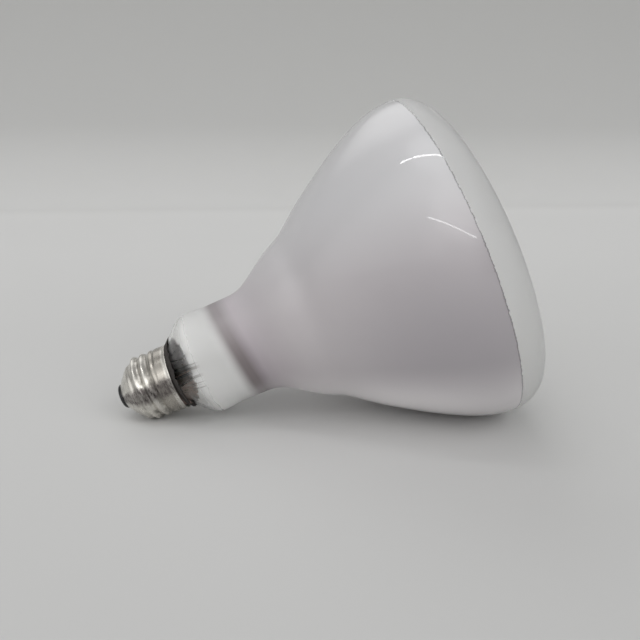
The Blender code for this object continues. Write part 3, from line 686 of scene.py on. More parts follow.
@dataclass(frozen=True)
class FilmedGlass:
    """The bulb's outside: glossy glass with the satin mirror film showing through it, and painted light and shade.
    """

    silver: Colour = (0.575, 0.545, 0.56)
    shade: Colour = (0.54, 0.507, 0.522)
    clouds: Wave = (28.0, 3.0)
    cloud_ends: Point = (0.25, 0.75)
    # Painted light: the film is lighter towards the lamp's top side (x below zero).
    top_light: Colour = (0.625, 0.62, 0.635)
    top_light_step: Point = (-8.0, -48.0)
    band: Tuple[Tuple[float, Colour], ...] = (
        (0.0, (0.80, 0.78, 0.76)), (0.086, (0.52, 0.50, 0.49)), (0.172, (0.405, 0.378, 0.375)),
        (0.27, (0.405, 0.378, 0.375)), (0.35, (0.60, 0.57, 0.59)), (0.44, (0.80, 0.77, 0.80)),
        (0.60, (0.89, 0.87, 0.89)), (1.0, WHITE))
    band_start: float = 6.0
    band_length: float = 26.0
    # Painted shade and light on the dark band: it stays darkest round a point on the front side (towards -y), and is
    # lightened elsewhere, most towards the underside and the top.
    band_shade_centre: Place = (6.0, -19.0, 51.0)
    band_shade_step: Point = (18.0, 5.0)
    band_light_off_shade: Tuple[Point, float] = ((-19.5, -14.0), 0.16)
    band_side_lights: Tuple[Tuple[Point, float], ...] = (((8.0, 17.0), 0.38), ((-7.0, -17.0), 0.26))
    # thin is a painted shade colour: a darker patch of the film on the cone's front side (towards -y).
    thin: Colour = (0.405, 0.38, 0.405)
    front_shade_centre: Place = (19.0, -58.0, 121.0)
    front_shade_step: Point = (64.0, 6.0)
    front_shade_share: float = 0.85
    # Painted light: the film is lighter on the underside, towards the table, strongest towards the neck.
    bounce_light: Colour = (0.99, 0.96, 0.97)
    bounce_light_widens: Point = (14.0, 0.19)
    bounce_light_step: Point = (9.0, 34.0)
    bounce_light_start: Point = (1.0, 15.0)
    bounce_light_fade: Point = (36.0, 74.0)
    bounce_light_left: float = 0.55
    bounce_light_share: float = 0.96
    edge: Colour = (0.12, 0.12, 0.125)
    edge_step: Point = (-0.55, -0.1)
    edge_share: float = 0.75
    frosted: Colour = (0.99, 0.99, 0.985)
    # Painted shade: the frosted face is darker towards the top side.
    face_top_shade: Colour = (0.90, 0.90, 0.90)
    face_top_shade_step: Point = (30.0, -50.0)
    # Painted on the outer skin: wire and wires are dark lines that stand for the leads and their shadows seen
    # through the neck.
    wire: Colour = (0.16, 0.15, 0.14)
    lead_shadow_share: float = 0.5
    wires: FineLines = FineLines((0.57, 0.63), ((29.5, 31.0), (37.0, 34.0)), ((-8.5, -7.0), (5.0, 3.5)),
                                 (-9.0, -12.0))
    satin: Point = (0.46, 0.56)
    etching: Point = (0.015, 0.5)
    metal_share: float = 0.12
    neck_milk: float = 0.46
    face_milk: float = 0.50
    gloss: Point = (0.10, 1.0)
    gloss_step: Point = (8.0, 34.0)
    bare_gloss: Point = (0.25, 0.12)
    coat_roughness: float = 0.04
    coat_index: float = 1.5
    ripple_stretch: Place = (1.0, 1.0, 0.35)
    ripples: Wave = (22.0, 1.5)
    ripple_relief: Point = (0.10, 0.6)

    def film(self, graph: Graph, place: Socket, masks: FilmMasks, cloud: Socket) -> Socket:
        """Gives the mirror film's colour through the glass.

        Args:
            graph: the finish under construction.
            place: the place, in the lamp's own frame.
            masks: the film's masks.
            cloud: the slow wandering of the finish.

        Returns:
            The colour's socket.
        """
        x = graph.split(place)[0]
        tint = graph.ramp(cloud, list(zip(self.cloud_ends, (self.shade, self.silver))))
        # Painted light: lighter film towards the top side.
        tint = graph.mix(graph.step(x, *self.top_light_step), tint, self.top_light)
        along = graph.math("DIVIDE", graph.math("ADD", masks.beyond, self.band_start), self.band_length, clamp=True)
        # Painted shade and light: the band is lightened by side, except round its darkest point on the front side.
        off_band_shade = graph.rest(graph.step(graph.reach(place, self.band_shade_centre), *self.band_shade_step))
        sides = graph.times(graph.step(x, *self.band_light_off_shade[0]), off_band_shade, self.band_light_off_shade[1])
        for ends, share in self.band_side_lights:
            sides = graph.math("ADD", sides, graph.times(graph.step(x, *ends), share))
        film = graph.mix(1.0, tint, graph.mix(sides, graph.ramp(along, self.band), WHITE), "MULTIPLY")
        # Painted shade: darker film round a point on the cone's front side.
        thin = graph.step(graph.reach(place, self.front_shade_centre), *self.front_shade_step)
        film = graph.mix(graph.times(thin, self.front_shade_share), film, self.thin)
        # Painted light: lighter film on the underside, fading towards the rim.
        start, slope = self.bounce_light_widens
        hanging = graph.math("SUBTRACT", x, graph.times(graph.math("SUBTRACT", masks.beyond, start), slope))
        bounce_light = graph.times(graph.step(hanging, *self.bounce_light_step), graph.step(masks.beyond, *self.bounce_light_start),
                            graph.blend(graph.step(masks.beyond, *self.bounce_light_fade), 1.0, self.bounce_light_left),
                            self.bounce_light_share)
        film = graph.mix(bounce_light, film, self.bounce_light)
        edge = graph.times(graph.step(masks.rim, *self.edge_step), masks.cover, self.edge_share)
        return graph.mix(edge, film, self.edge)

    def make(self) -> bpy.types.Material:
        """Returns the finish of the glass's outer skin."""
        graph = Finish("filmed_glass", self.silver, self.satin[0])
        place = graph.own(LAMP.matrix())
        masks = EDGES.masks(graph, place)
        cloud = graph.noise(place, *self.clouds)
        # Painted shade: darker frosted face towards the top side.
        top = graph.times(masks.face, graph.step(graph.split(place)[0], *self.face_top_shade_step))
        bare = graph.mix(top, self.frosted, self.face_top_shade)
        base = graph.mix(masks.cover, bare, self.film(graph, place, masks, cloud))
        # Painted shade: dark lines for the leads and their shadows behind the glass.
        wires = graph.times(self.wires.mask(graph, place), self.lead_shadow_share)
        graph.feed("Base Color", graph.mix(wires, base, self.wire))
        graph.feed("Metallic", graph.times(masks.cover, self.metal_share))
        milk = graph.math("ADD", graph.times(masks.milk, self.neck_milk),
                          graph.times(masks.face, self.face_milk - self.neck_milk))
        graph.feed("Transmission Weight", graph.times(graph.rest(milk), graph.rest(masks.cover)))
        etching = graph.blend(graph.math("POWER", masks.etched, 2.0), *self.etching)
        graph.feed("Roughness", graph.blend(masks.cover, etching, graph.blend(cloud, *self.satin)))
        graph.feed("IOR", THIN_GLASS)
        gloss = graph.blend(graph.step(masks.beyond, *self.gloss_step), *self.gloss)
        graph.feed("Coat Weight", graph.blend(masks.cover, graph.blend(masks.etched, *self.bare_gloss), gloss))
        graph.feed("Coat Roughness", self.coat_roughness)
        graph.feed("Coat IOR", self.coat_index)
        graph.bump(graph.noise(graph.scale(place, self.ripple_stretch), *self.ripples), *self.ripple_relief)
        return graph.material


@dataclass(frozen=True)
class EtchedInside:
    """The bulb's inside: clear at the seal, etched in the neck and on the face, mirrored between."""

    mirror: Colour = (0.86, 0.86, 0.87)
    mirror_roughness: float = 0.22
    clear: Colour = (0.99, 0.99, 0.98)
    etched_open: float = 0.97
    etching: Point = (0.03, 0.9)
    whisker: Colour = (0.05, 0.045, 0.04)
    whiskers: FineLines = FineLines((0.60, 0.66), ((25.6, 26.0), (32.5, 27.0)), ((-7.0, -5.0), (7.0, 5.0)),
                                    (8.0, 11.0))

    def make(self) -> bpy.types.Material:
        """Returns the finish of the glass's inner skin."""
        graph = Finish("etched_inside", self.mirror, self.mirror_roughness)
        place = graph.own(LAMP.matrix())
        masks = EDGES.masks(graph, place)
        whiskers = self.whiskers.mask(graph, place)
        graph.feed("Base Color", graph.mix(masks.cover, graph.mix(whiskers, self.clear, self.whisker), self.mirror))
        graph.feed("Metallic", masks.cover)
        graph.feed("Transmission Weight", graph.times(graph.blend(masks.etched, 1.0, self.etched_open),
                                                      graph.rest(masks.cover), graph.rest(whiskers)))
        etching = graph.blend(graph.math("POWER", masks.etched, 2.0), *self.etching)
        graph.feed("Roughness", graph.blend(masks.cover, etching, self.mirror_roughness))
        graph.feed("IOR", THIN_GLASS)
        return graph.material


@dataclass(frozen=True)
class RolledMetal:
    """The cap's bright rolled metal: darker in its grooves, dull on its skirt, and with a painted dark reflection on
    its front side.
    """

    bright: Colour = (0.74, 0.715, 0.665)
    worn: Colour = (0.58, 0.565, 0.525)
    worn_step: Point = (0.42, 0.70)
    blotches: Wave = (3.2, 5.0, 0.62)
    scratches: Wave = (1.8, 3.0, 0.6)
    scratch_stretch: Place = (1.0, 1.0, 2.5)
    dents: Wave = (2.6, 3.0, 0.6)
    dent_share: float = 0.7
    dull: Colour = (0.33, 0.305, 0.27)
    dull_share: float = 0.72
    skirt: Tuple[Point, Point] = ((16.6, 17.4), (22.4, 21.6))
    # Darker and rougher in the thread's grooves, in blotches.
    groove_dark: Colour = (0.20, 0.185, 0.165)
    groove_dark_share: float = 0.75
    groove_dark_step: Point = (0.3, 0.62)
    groove_step: Point = (12.75, 12.15)
    thread_step: Point = (8.0, 11.0)
    # Painted reflection: a dark band on the cap's side that faces front (towards -y).
    dark_reflection: Colour = (0.115, 0.10, 0.098)
    dark_reflection_turns: Tuple[Point, Point] = ((-0.42, -0.24), (0.32, 0.08))
    dark_reflection_sway: float = 0.45
    dark_reflection_shares: Point = (0.95, 0.6)
    dark_reflection_step: Point = (0.35, 0.6)
    polish: Point = (0.20, 0.36)
    groove_roughness: float = 0.55
    relief: Point = (0.035, 0.8)

    def make(self) -> bpy.types.Material:
        """Returns the screw shell's finish."""
        graph = Finish("rolled_metal", self.bright, self.polish[0], 1.0)
        place = graph.own(CAP.matrix(LAMP))
        x, y, station = graph.split(place)
        blotch = graph.noise(place, *self.blotches)
        fine = graph.noise(graph.scale(place, self.scratch_stretch), *self.scratches)
        # Darker in the grooves, in blotches.
        groove_dark_mask = graph.times(graph.step(graph.radius(x, y), *self.groove_step),
                            graph.step(station, *self.thread_step), graph.step(blotch, *self.groove_dark_step))
        tone = graph.mix(graph.step(blotch, *self.worn_step), self.bright, self.worn)
        tone = graph.mix(graph.times(graph.window(station, *self.skirt), self.dull_share), tone, self.dull)
        tone = graph.mix(graph.times(groove_dark_mask, self.groove_dark_share), tone, self.groove_dark)
        # Painted reflection: darkens the metal round the side facing front.
        turn = graph.math("ARCTAN2", x, graph.times(y, -1.0))
        turn = graph.math("ADD", turn, graph.sway(blotch, self.dark_reflection_sway))
        dark_reflection = graph.times(graph.window(turn, *self.dark_reflection_turns),
                            graph.blend(graph.step(fine, *self.dark_reflection_step), *self.dark_reflection_shares))
        graph.feed("Base Color", graph.mix(dark_reflection, tone, self.dark_reflection))
        graph.feed("Roughness", graph.blend(groove_dark_mask, graph.blend(fine, *self.polish), self.groove_roughness))
        graph.bump(graph.blend(self.dent_share, fine, graph.noise(place, *self.dents)), *self.relief)
        return graph.material


@dataclass(frozen=True)
class BakedCement:
    """The basing cement: baked, cracked along the axis, with darker and olive patches, and painted shade and shadow
    on its front side.
    """

    grey: Colour = (0.66, 0.62, 0.635)
    brown: Colour = (0.66, 0.51, 0.44)
    brown_step: Point = (-2.0, 8.0)
    pale: Colour = (0.78, 0.73, 0.71)
    pale_step: Point = (0.5, 0.68)
    crack: Colour = (0.12, 0.10, 0.10)
    crack_step: Point = (0.46, 0.30)
    olive: Colour = (0.26, 0.24, 0.12)
    olive_step: Point = (0.56, 0.66)
    # Painted shade: the cement is darker on its front side (towards -y).
    cement_front_shade: Colour = (0.46, 0.34, 0.31)
    cement_front_shade_step: Point = (0.0, -8.0)
    # Painted shadow: gap darkens the cement almost black on its outer part, beyond 12.4 mm from the axis, on the
    # front side.
    gap: Colour = (0.045, 0.039, 0.036)
    lip_shadow_step: Point = (11.6, 12.4)
    lip_shadow_side: Point = (6.0, 0.0)
    roughness: Point = (0.7, 0.95)
    streaks: Wave = (1.1, 4.0, 0.7)
    streak_stretch: Place = (1.0, 1.0, 0.18)
    streak_share: float = 0.6
    patches: Wave = (3.0, 3.0, 0.6)
    grain: Wave = (0.5, 4.0, 0.7)
    relief: float = 0.5

    def make(self) -> bpy.types.Material:
        """Returns the cement ring's finish."""
        graph = Finish("baked_cement", self.grey, self.roughness[1])
        place = graph.own(CAP.matrix(LAMP))
        x, y, _ = graph.split(place)
        streaks = graph.noise(graph.scale(place, self.streak_stretch), *self.streaks)
        patches = graph.noise(place, *self.patches)
        low = graph.step(x, *self.brown_step)
        # Painted shadow: almost black outer part of the cement on the front side.
        gap = graph.times(graph.step(graph.radius(x, y), *self.lip_shadow_step), graph.step(y, *self.lip_shadow_side))
        body = graph.mix(low, self.grey, self.brown)
        for share, colour in ((graph.step(streaks, *self.pale_step), self.pale),
                              (graph.step(streaks, *self.crack_step), self.crack),
                              (graph.times(graph.step(patches, *self.olive_step), low), self.olive),
                              # Painted shade on the front side, then a painted shadow ring at the lip.
                              (graph.step(y, *self.cement_front_shade_step), self.cement_front_shade), (gap, self.gap)):
            body = graph.mix(share, body, colour)
        graph.feed("Base Color", body)
        graph.feed("Roughness", graph.blend(patches, *self.roughness))
        graph.bump(graph.blend(self.streak_share, graph.noise(place, *self.grain), streaks), self.relief)
        return graph.material


@dataclass(frozen=True)
class PlainFinish:
    """A small piece's finish: one colour that wanders a little, with fine grain."""

    name: str
    colour: Colour
    shade: Colour
    roughness: float
    metallic: float = 0.0
    grain: float = 0.6
    relief: float = 0.02
    transmission: float = 0.0
    index: float = 1.5
    patch: float = 3.0
    patch_step: Point = (0.35, 0.65)
    spread: Point = (0.8, 1.2)

    def make(self) -> bpy.types.Material:
        """Returns the finish."""
        graph = Finish(self.name, self.colour, self.roughness, self.metallic)
        place = graph.own(LAMP.matrix())
        wander = graph.noise(place, self.grain * self.patch, 3.0)
        graph.feed("Base Color", graph.mix(graph.step(wander, *self.patch_step), self.shade, self.colour))
        low, high = (min(self.roughness * share, 1.0) for share in self.spread)
        graph.feed("Roughness", graph.blend(wander, low, high))
        graph.feed("Transmission Weight", self.transmission)
        graph.feed("IOR", self.index)
        graph.bump(graph.noise(place, self.grain, 3.0), self.relief)
        return graph.material


# Name, colour, shade, roughness, metallic, grain, relief, transmission, index.
SOLDER = PlainFinish("dull_solder", (0.56, 0.56, 0.57), (0.36, 0.36, 0.38), 0.42, 1.0, 0.35, 0.05)
BLACK_GLASS = PlainFinish("black_glass", (0.010, 0.010, 0.012), (0.016, 0.016, 0.018), 0.14, 0.0, 0.8, 0.02)
BRASS = PlainFinish("contact_brass", (0.70, 0.56, 0.34), (0.50, 0.39, 0.24), 0.34, 1.0, 0.4, 0.02)
MOUNT_GLASS = PlainFinish("mount_glass", (0.985, 0.985, 0.98), (0.97, 0.97, 0.965), 0.03, 0.0, 2.0, 0.0, 1.0, 1.08)
TUNGSTEN = PlainFinish("tungsten_wire", (0.34, 0.34, 0.35), (0.25, 0.25, 0.26), 0.4, 1.0, 0.3, 0.01)
NICKEL = PlainFinish("nickel_wire", (0.62, 0.60, 0.56), (0.5, 0.48, 0.45), 0.32, 1.0, 0.4, 0.01)
COPPER = PlainFinish("copper_wire", (0.34, 0.23, 0.17), (0.22, 0.16, 0.12), 0.45, 1.0, 0.4, 0.01)
SHEET = PlainFinish("deflector_sheet", (0.78, 0.78, 0.77), (0.66, 0.66, 0.66), 0.3, 1.0, 1.0, 0.02)


@dataclass
class Envelope:
    """The blown glass: neck, bulged shoulder, flaring cone and domed face in one wall."""

    wall: float = 0.9
    stations: Tuple[Place, ...] = (
        (18.8, 10.4, 0.0), (22.8, 10.4, 0.3), (26.6, 14.45, 0.6), (31.0, 18.75, 0.66), (36.8, 20.45, 0.0),
        (43.0, 19.8, 0.0), (55.0, 19.97, 0.02), (67.5, 26.2, 0.7), (78.5, 32.43, 0.40), (86.5, 38.04, 0.785),
        (105.0, 50.67, 0.62), (122.0, 59.86, 0.445), (138.0, 63.5, 0.0))
    spacing: float = 1.1
    rounds: int = 3
    corner_radius: float = 12.6
    corner_steps: int = 20
    face_radius: float = 171.0
    face_steps: int = 30
    sides: int = 160

    def outline(self) -> List[Point]:
        """Returns the outer outline from the neck's open end to the middle of the face."""
        side: List[Point] = []
        for here, there in zip(self.stations, self.stations[1:]):
            side += hermite(here, there, max(int((there[0] - here[0]) / self.spacing), 3))
        rim_station, rim_radius, _ = self.stations[-1]
        side.append((rim_station, rim_radius))
        side = eased(side, self.rounds)
        corner = Vector((rim_station, rim_radius - self.corner_radius))
        reach = self.face_radius - self.corner_radius
        centre = corner.x - math.sqrt(reach**2 - corner.y**2)
        meet = math.atan2(corner.y, corner.x - centre)
        for step in range(1, self.corner_steps + 1):
            angle = math.pi / 2 + (meet - math.pi / 2) * step / self.corner_steps
            side.append((corner.x + self.corner_radius * math.cos(angle),
                         corner.y + self.corner_radius * math.sin(angle)))
        for step in range(1, self.face_steps + 1):
            angle = meet * (1 - step / self.face_steps)
            side.append((centre + self.face_radius * math.cos(angle), self.face_radius * math.sin(angle)))
        return side

    def mesh(self) -> Shape:
        """Returns the wall, with its inner skin on the second material."""
        outer = self.outline()
        inner = inset(outer, self.wall)[::-1]
        work = spun(outer + inner, self.sides)
        order = work.verts.layers.int["order"]
        for face in work.faces:
            if min(vertex[order] for vertex in face.verts) >= len(outer):
                face.material_index = Skin.INSIDE.value
        ends = [edge for edge in work.edges if edge.is_boundary]
        bmesh.ops.bridge_loops(work, edges=ends)
        face_outwards(work)
        return work

    def build(self) -> List[bpy.types.Object]:
        """Returns the finished envelope, with its finishes in the order of Skin."""
        finishes = [FilmedGlass().make(), EtchedInside().make()]
        return [place_piece(self.mesh(), "envelope", finishes, LAMP.matrix(), ["glass_envelope"])]


@dataclass
class ScrewCap:
    """The cap's thin shell with its rolled thread, and the tip's insulator, contact and solder."""

    wall: float = 0.3
    start: float = 2.0
    toe: float = 0.12
    crest: float = 13.0
    depth: float = 0.9
    pitch: float = 3.629
    phase: float = 13.5
    shoulder: float = 7.6
    bow: float = 0.1
    run_out: float = 17.4
    flare: float = 0.24
    flare_length: float = 1.1
    hole: float = 5.2
    rows: int = 96
    sides: int = 160
    plug_sides: int = 96
    eyelet_sides: int = 64
    drop_sides: int = 48
    nose: Tuple[float, float, float, int] = (0.4, 4.9, 1.1, 12)
    seat: Tuple[Point, ...] = ((1.2, 1.4), (1.2, 3.2), (0.55, 3.2), (0.42, 3.33))
    plug: Tuple[Point, ...] = ((3.2, 4.9), (3.9, 5.6), (4.9, 6.9), (6.0, 8.0), (6.0, 1.4))
    eyelet: Tuple[Point, ...] = ((0.6, 0.8), (0.6, 2.2), (0.65, 2.5), (0.75, 2.8), (0.88, 2.9), (0.9, 1.1),
                                 (3.9, 1.1), (3.9, 0.8))
    drop: Tuple[Point, ...] = ((0.0, 0.0), (0.0, 0.75), (0.03, 0.95), (0.1, 1.2), (0.2, 1.4), (0.3, 1.5), (0.3, 0.0))
    drop_swell: Place = (0.07, 3.0, 0.8)
    bead: float = 1.1
    bead_swell: Place = (0.12, 2.6, 0.5)
    bead_shape: Place = (1.0, 0.42, 0.9)
    bead_lift: float = 0.72
    bead_back: float = 1.0

    def radius(self, station: float) -> float:
        """Gives the shell's outer radius before its thread is rolled.

        Args:
            station: the place along the axis.

        Returns:
            The radius.
        """
        if station < self.start + self.shoulder:
            share = (station - self.start) / self.shoulder
            return self.hole + (self.crest - self.hole) * (share + math.sin(math.pi * share) * self.bow)
        return self.crest + self.flare * smoothstep(CAP.lip - self.flare_length, CAP.lip, station)

    def dip(self, station: float, angle: float) -> float:
        """Gives how far the thread lies below its crests.

        Args:
            station: the place along the axis.
            angle: the place round it.

        Returns:
            The depth.
        """
        turns = (station - self.phase) / self.pitch - angle / math.tau
        share = 0.5 + 0.5 * math.cos(math.tau * turns)
        run_in = smoothstep(self.start + 0.3 * self.shoulder, self.start + self.shoulder, station)
        run_out = 1.0 - smoothstep(self.run_out, self.run_out + 0.5 * self.pitch, station)
        return self.depth * share * run_in * run_out

    def shell(self) -> Shape:
        """Returns the threaded shell as a thin closed wall with a rounded lip."""
        stations = [self.start + (CAP.lip - self.start) * row / self.rows for row in range(self.rows + 1)]
        outer = [(station, self.radius(station)) for station in stations]
        inner = [(station, radius - self.wall) for station, radius in outer][::-1]
        lip = (CAP.lip + 0.5 * self.wall, outer[-1][1] - 0.5 * self.wall)
        toe = (self.start - self.toe, outer[0][1] - 0.5 * self.wall)
        work = spun([*outer, lip, *inner, toe], self.sides, closed=True)
        for vertex in work.verts:
            flat = Vector(vertex.co.xy)
            angle = math.atan2(flat.y, flat.x)
            flat *= (flat.length - self.dip(vertex.co.z, angle)) / flat.length
            vertex.co.x, vertex.co.y = flat
        bmesh.ops.recalc_face_normals(work, faces=work.faces)
        return work

    def insulator(self) -> Shape:
        """Returns the black glass plug with its rounded nose, bore and contact seat."""
        station, radius, bend, steps = self.nose
        nose = []
        for step in range(steps + 1):
            angle = math.pi / 2 * step / steps
            nose.append((station + bend * (1 - math.cos(angle)), radius - bend * (1 - math.sin(angle))))
        return spun([*self.seat, *nose, *self.plug], self.plug_sides, closed=True)

    def contact(self) -> Shape:
        """Returns the centre contact with its eyelet."""
        return spun(self.eyelet, self.eyelet_sides, closed=True)

    def tip_solder(self) -> Shape:
        """Returns the flattened drop of solder on the contact."""
        size, lobes, phase = self.drop_swell
        work = spun(self.drop, self.drop_sides)
        for vertex in work.verts:
            swell = 1.0 + size * math.sin(lobes * math.atan2(vertex.co.y, vertex.co.x) + phase)
            vertex.co.x *= swell
            vertex.co.y *= swell
        return work

    def side_solder(self) -> Shape:
        """Returns the drop that fixes the side lead to the lip, on the far side."""
        size, rate, phase = self.bead_swell
        work = bmesh.new()
        bmesh.ops.create_icosphere(work, subdivisions=4, radius=self.bead)
        for vertex in work.verts:
            vertex.co.x *= 1.0 + size * math.sin(rate * vertex.co.z + phase)
        bmesh.ops.scale(work, verts=work.verts, vec=self.bead_shape)
        place = (0.0, self.crest + self.flare + self.bead_lift, CAP.lip - self.bead_back)
        bmesh.ops.translate(work, verts=work.verts, vec=place)
        return work

    def build(self) -> List[bpy.types.Object]:
        """Returns the cap's finished pieces."""
        matrix = CAP.matrix(LAMP)
        metal, solder, black, brass = (finish.make() for finish in (RolledMetal(), SOLDER, BLACK_GLASS, BRASS))
        angled = Shading.BY_ANGLE
        return [
            place_piece(self.shell(), "cap_shell", [metal], matrix, ["screw_shell"]),
            place_piece(self.insulator(), "cap_insulator", [black], matrix, ["insulator"], angled),
            place_piece(self.contact(), "cap_contact", [brass], matrix, ["centre_contact"], angled),
            place_piece(self.tip_solder(), "cap_tip_solder", [solder], matrix, ["centre_solder"]),
            place_piece(self.side_solder(), "cap_side_solder", [solder], matrix, ["side_solder"]),
        ]


@dataclass
class Cement:
    """The cement ring that fills the cap's lip and ends in a ragged edge on the glass."""

    start: float = 19.4
    edge: float = 25.7
    body: float = 0.7
    feather: float = 0.05
    gap: float = 0.3
    step_back: float = 1.1
    rows: int = 14
    seat: Tuple[float, ...] = (25.2, 24.7, 24.2, 23.7, 23.2, 22.6, 21.5, 20.4)
    ragged: float = 0.45
    neck_end: float = 40.0
    slack: Point = (0.01, 0.2)
    waves: Tuple[Tuple[int, float, float], ...] = (
        (5, 0.3, 0.22), (9, 1.7, 0.20), (14, 4.1, 0.24), (23, 2.2, 0.30), (41, 0.7, 0.34), (67, 3.3, 0.24))
    sides: int = 256
    glass: Envelope = field(default_factory=Envelope)
    cap: ScrewCap = field(default_factory=ScrewCap)
    neck: List[Point] = field(default_factory=list)

    def glass_radius(self, station: float) -> float:
        """Gives the glass's outer radius near the cap.

        Args:
            station: the place along the axis.

        Returns:
            The radius.
        """
        if not self.neck:
            self.neck = [point for point in self.glass.outline() if point[0] < self.neck_end]
        for (z0, r0), (z1, r1) in zip(self.neck, self.neck[1:]):
            if z0 <= station <= z1:
                return r0 + (r1 - r0) * (station - z0) / (z1 - z0)
        return self.neck[0][1]

    def wander(self, angle: float) -> float:
        """Returns how far the edge strays at an angle, between about -1 and 1."""
        return sum(size * math.sin(count * angle + start) for count, start, size in self.waves)

    def mesh(self) -> Shape:
        """Returns the ring, hollow where the glass passes through it."""
        lip = CAP.lip - self.gap
        inside = self.cap.crest - self.cap.wall - self.gap
        bond, skin = self.gap + self.feather, self.gap + self.body
        rise = [lip + (self.edge - lip) * row / self.rows for row in range(self.rows + 1)]
        outline: List[Point] = [(self.start, inside), (lip - self.step_back, inside)]
        outline += [(station, self.glass_radius(station) + skin) for station in rise]
        outline += [(station, self.glass_radius(station) + bond) for station in (self.edge, *self.seat, self.start)]
        work = spun(outline, self.sides, closed=True)
        for vertex in work.verts:
            radius = vertex.co.xy.length
            angle = math.atan2(vertex.co.y, vertex.co.x)
            share = smoothstep(lip, self.edge, vertex.co.z)
            on_glass = radius < self.glass_radius(vertex.co.z) + skin + self.slack[0]
            vertex.co.z += self.ragged * share * self.wander(angle)
            if on_glass and (share > 0.0 or radius < inside - self.slack[1]):
                layer = radius - self.glass_radius(self.edge if share >= 1.0 else vertex.co.z)
                keep = self.glass_radius(vertex.co.z) + max(min(layer, skin), bond)
                vertex.co.x = keep * math.cos(angle) - CAP.shift[0]
                vertex.co.y = keep * math.sin(angle) - CAP.shift[1]
        bmesh.ops.recalc_face_normals(work, faces=work.faces)
        return work

    def build(self) -> List[bpy.types.Object]:
        """Returns the finished ring."""
        return [place_piece(self.mesh(), "cement_ring", [BakedCement().make()], CAP.matrix(LAMP),
                            ["basing_cement"])]


@dataclass
class Mount:
    """What the neck holds: stem, exhaust tube, arbor, deflector, leads, anchors and filament."""

    ring: float = 10.0
    coil: float = 0.75
    station: float = 84.0
    gap: float = math.radians(80)
    turns: int = 64
    per_turn: int = 10
    wire: float = 0.09
    rod: Tuple[Point, ...] = ((54.3, 0.0), (54.3, 1.35), (54.5, 1.5), (68.0, 1.5), (70.0, 1.55), (71.0, 1.75))
    button: float = 2.7
    button_sink: float = 0.82
    button_turn: float = math.radians(138)
    button_steps: int = 16
    sides: int = 48
    kept: Tuple[Tuple[PlainFinish, Tuple[str, ...]], ...] = (
        (NICKEL, ("inner_lead_far", "inner_lead_near", "anchor_1", "anchor_2", "anchor_3", "anchor_4", "fuse_link")),
        (COPPER, ("outer_lead_centre", "outer_lead_tip", "outer_lead_side")),
        (SHEET, ("heat_deflector",)))

    def filament(self) -> Shape:
        """Returns the coiled filament, bent round a ring."""
        arc = math.tau - self.gap
        count = self.turns * self.per_turn
        route = []
        for number in range(count + 1):
            angle = -0.5 * arc + arc * number / count
            turn = math.tau * number / self.per_turn
            radius = self.ring + (self.coil - self.wire) * math.cos(turn)
            route.append(Vector((radius * math.cos(angle), radius * math.sin(angle),
                                 self.station + (self.coil - self.wire) * math.sin(turn))))
        return wound(route, self.wire, 1)

    def arbor(self) -> Shape:
        """Returns the glass rod with its round button."""
        outline = list(self.rod)
        for step in range(self.button_steps + 1):
            angle = self.button_turn * (1 - step / self.button_steps)
            outline.append((self.rod[-1][0] + self.button * (self.button_sink + math.cos(angle)),
                            self.button * math.sin(angle)))
        return spun(outline, self.sides)

    def build(self) -> List[bpy.types.Object]:
        """Returns the mount's pieces: two new ones, and the CAD nodes that keep their shape, dressed."""
        matrix = LAMP.matrix()
        glass = MOUNT_GLASS.make()
        pieces = [
            place_piece(self.filament(), "filament_coil", [TUNGSTEN.make()], matrix, ["filament"]),
            place_piece(self.arbor(), "arbor_rod", [glass], matrix, ["arbor"]),
        ]
        pieces += [redress(node, glass) for node in ("stem", "exhaust_tube")]
        for finish, nodes in self.kept:
            material = finish.make()
            pieces += [redress(node, material) for node in nodes]
        return pieces


@dataclass(frozen=True)
class Glow:
    """A soft bright patch of the light tent, with its edges as angles in degrees from its heading."""

    heading: Place
    inner: float
    outer: float
    amount: float


@dataclass(frozen=True)
class Tube:
    """A thin tube light between two places, in metres, with its bright side towards a target."""

    name: str
    start: Place
    stop: Place
    target: Place
    width: float
    radiance: float

    def hang(self) -> bpy.types.Object:
        """Returns the light, in its place."""
        run = Vector(self.stop) - Vector(self.start)
        middle = (Vector(self.stop) + Vector(self.start)) / 2.0
        data = bpy.data.lights.new(self.name, "AREA")
        data.shape = "RECTANGLE"
        data.size, data.size_y = run.length, self.width
        data.energy = self.radiance * math.pi * run.length * self.width
        light = stand(self.name, data)
        light.visible_camera = False
        light.location = middle
        back = (middle - Vector(self.target)).normalized()
        across = back.cross(run.normalized()).normalized()
        along = across.cross(back).normalized()
        light.rotation_euler = Matrix((along, across, back)).transposed().to_euler()
        return light


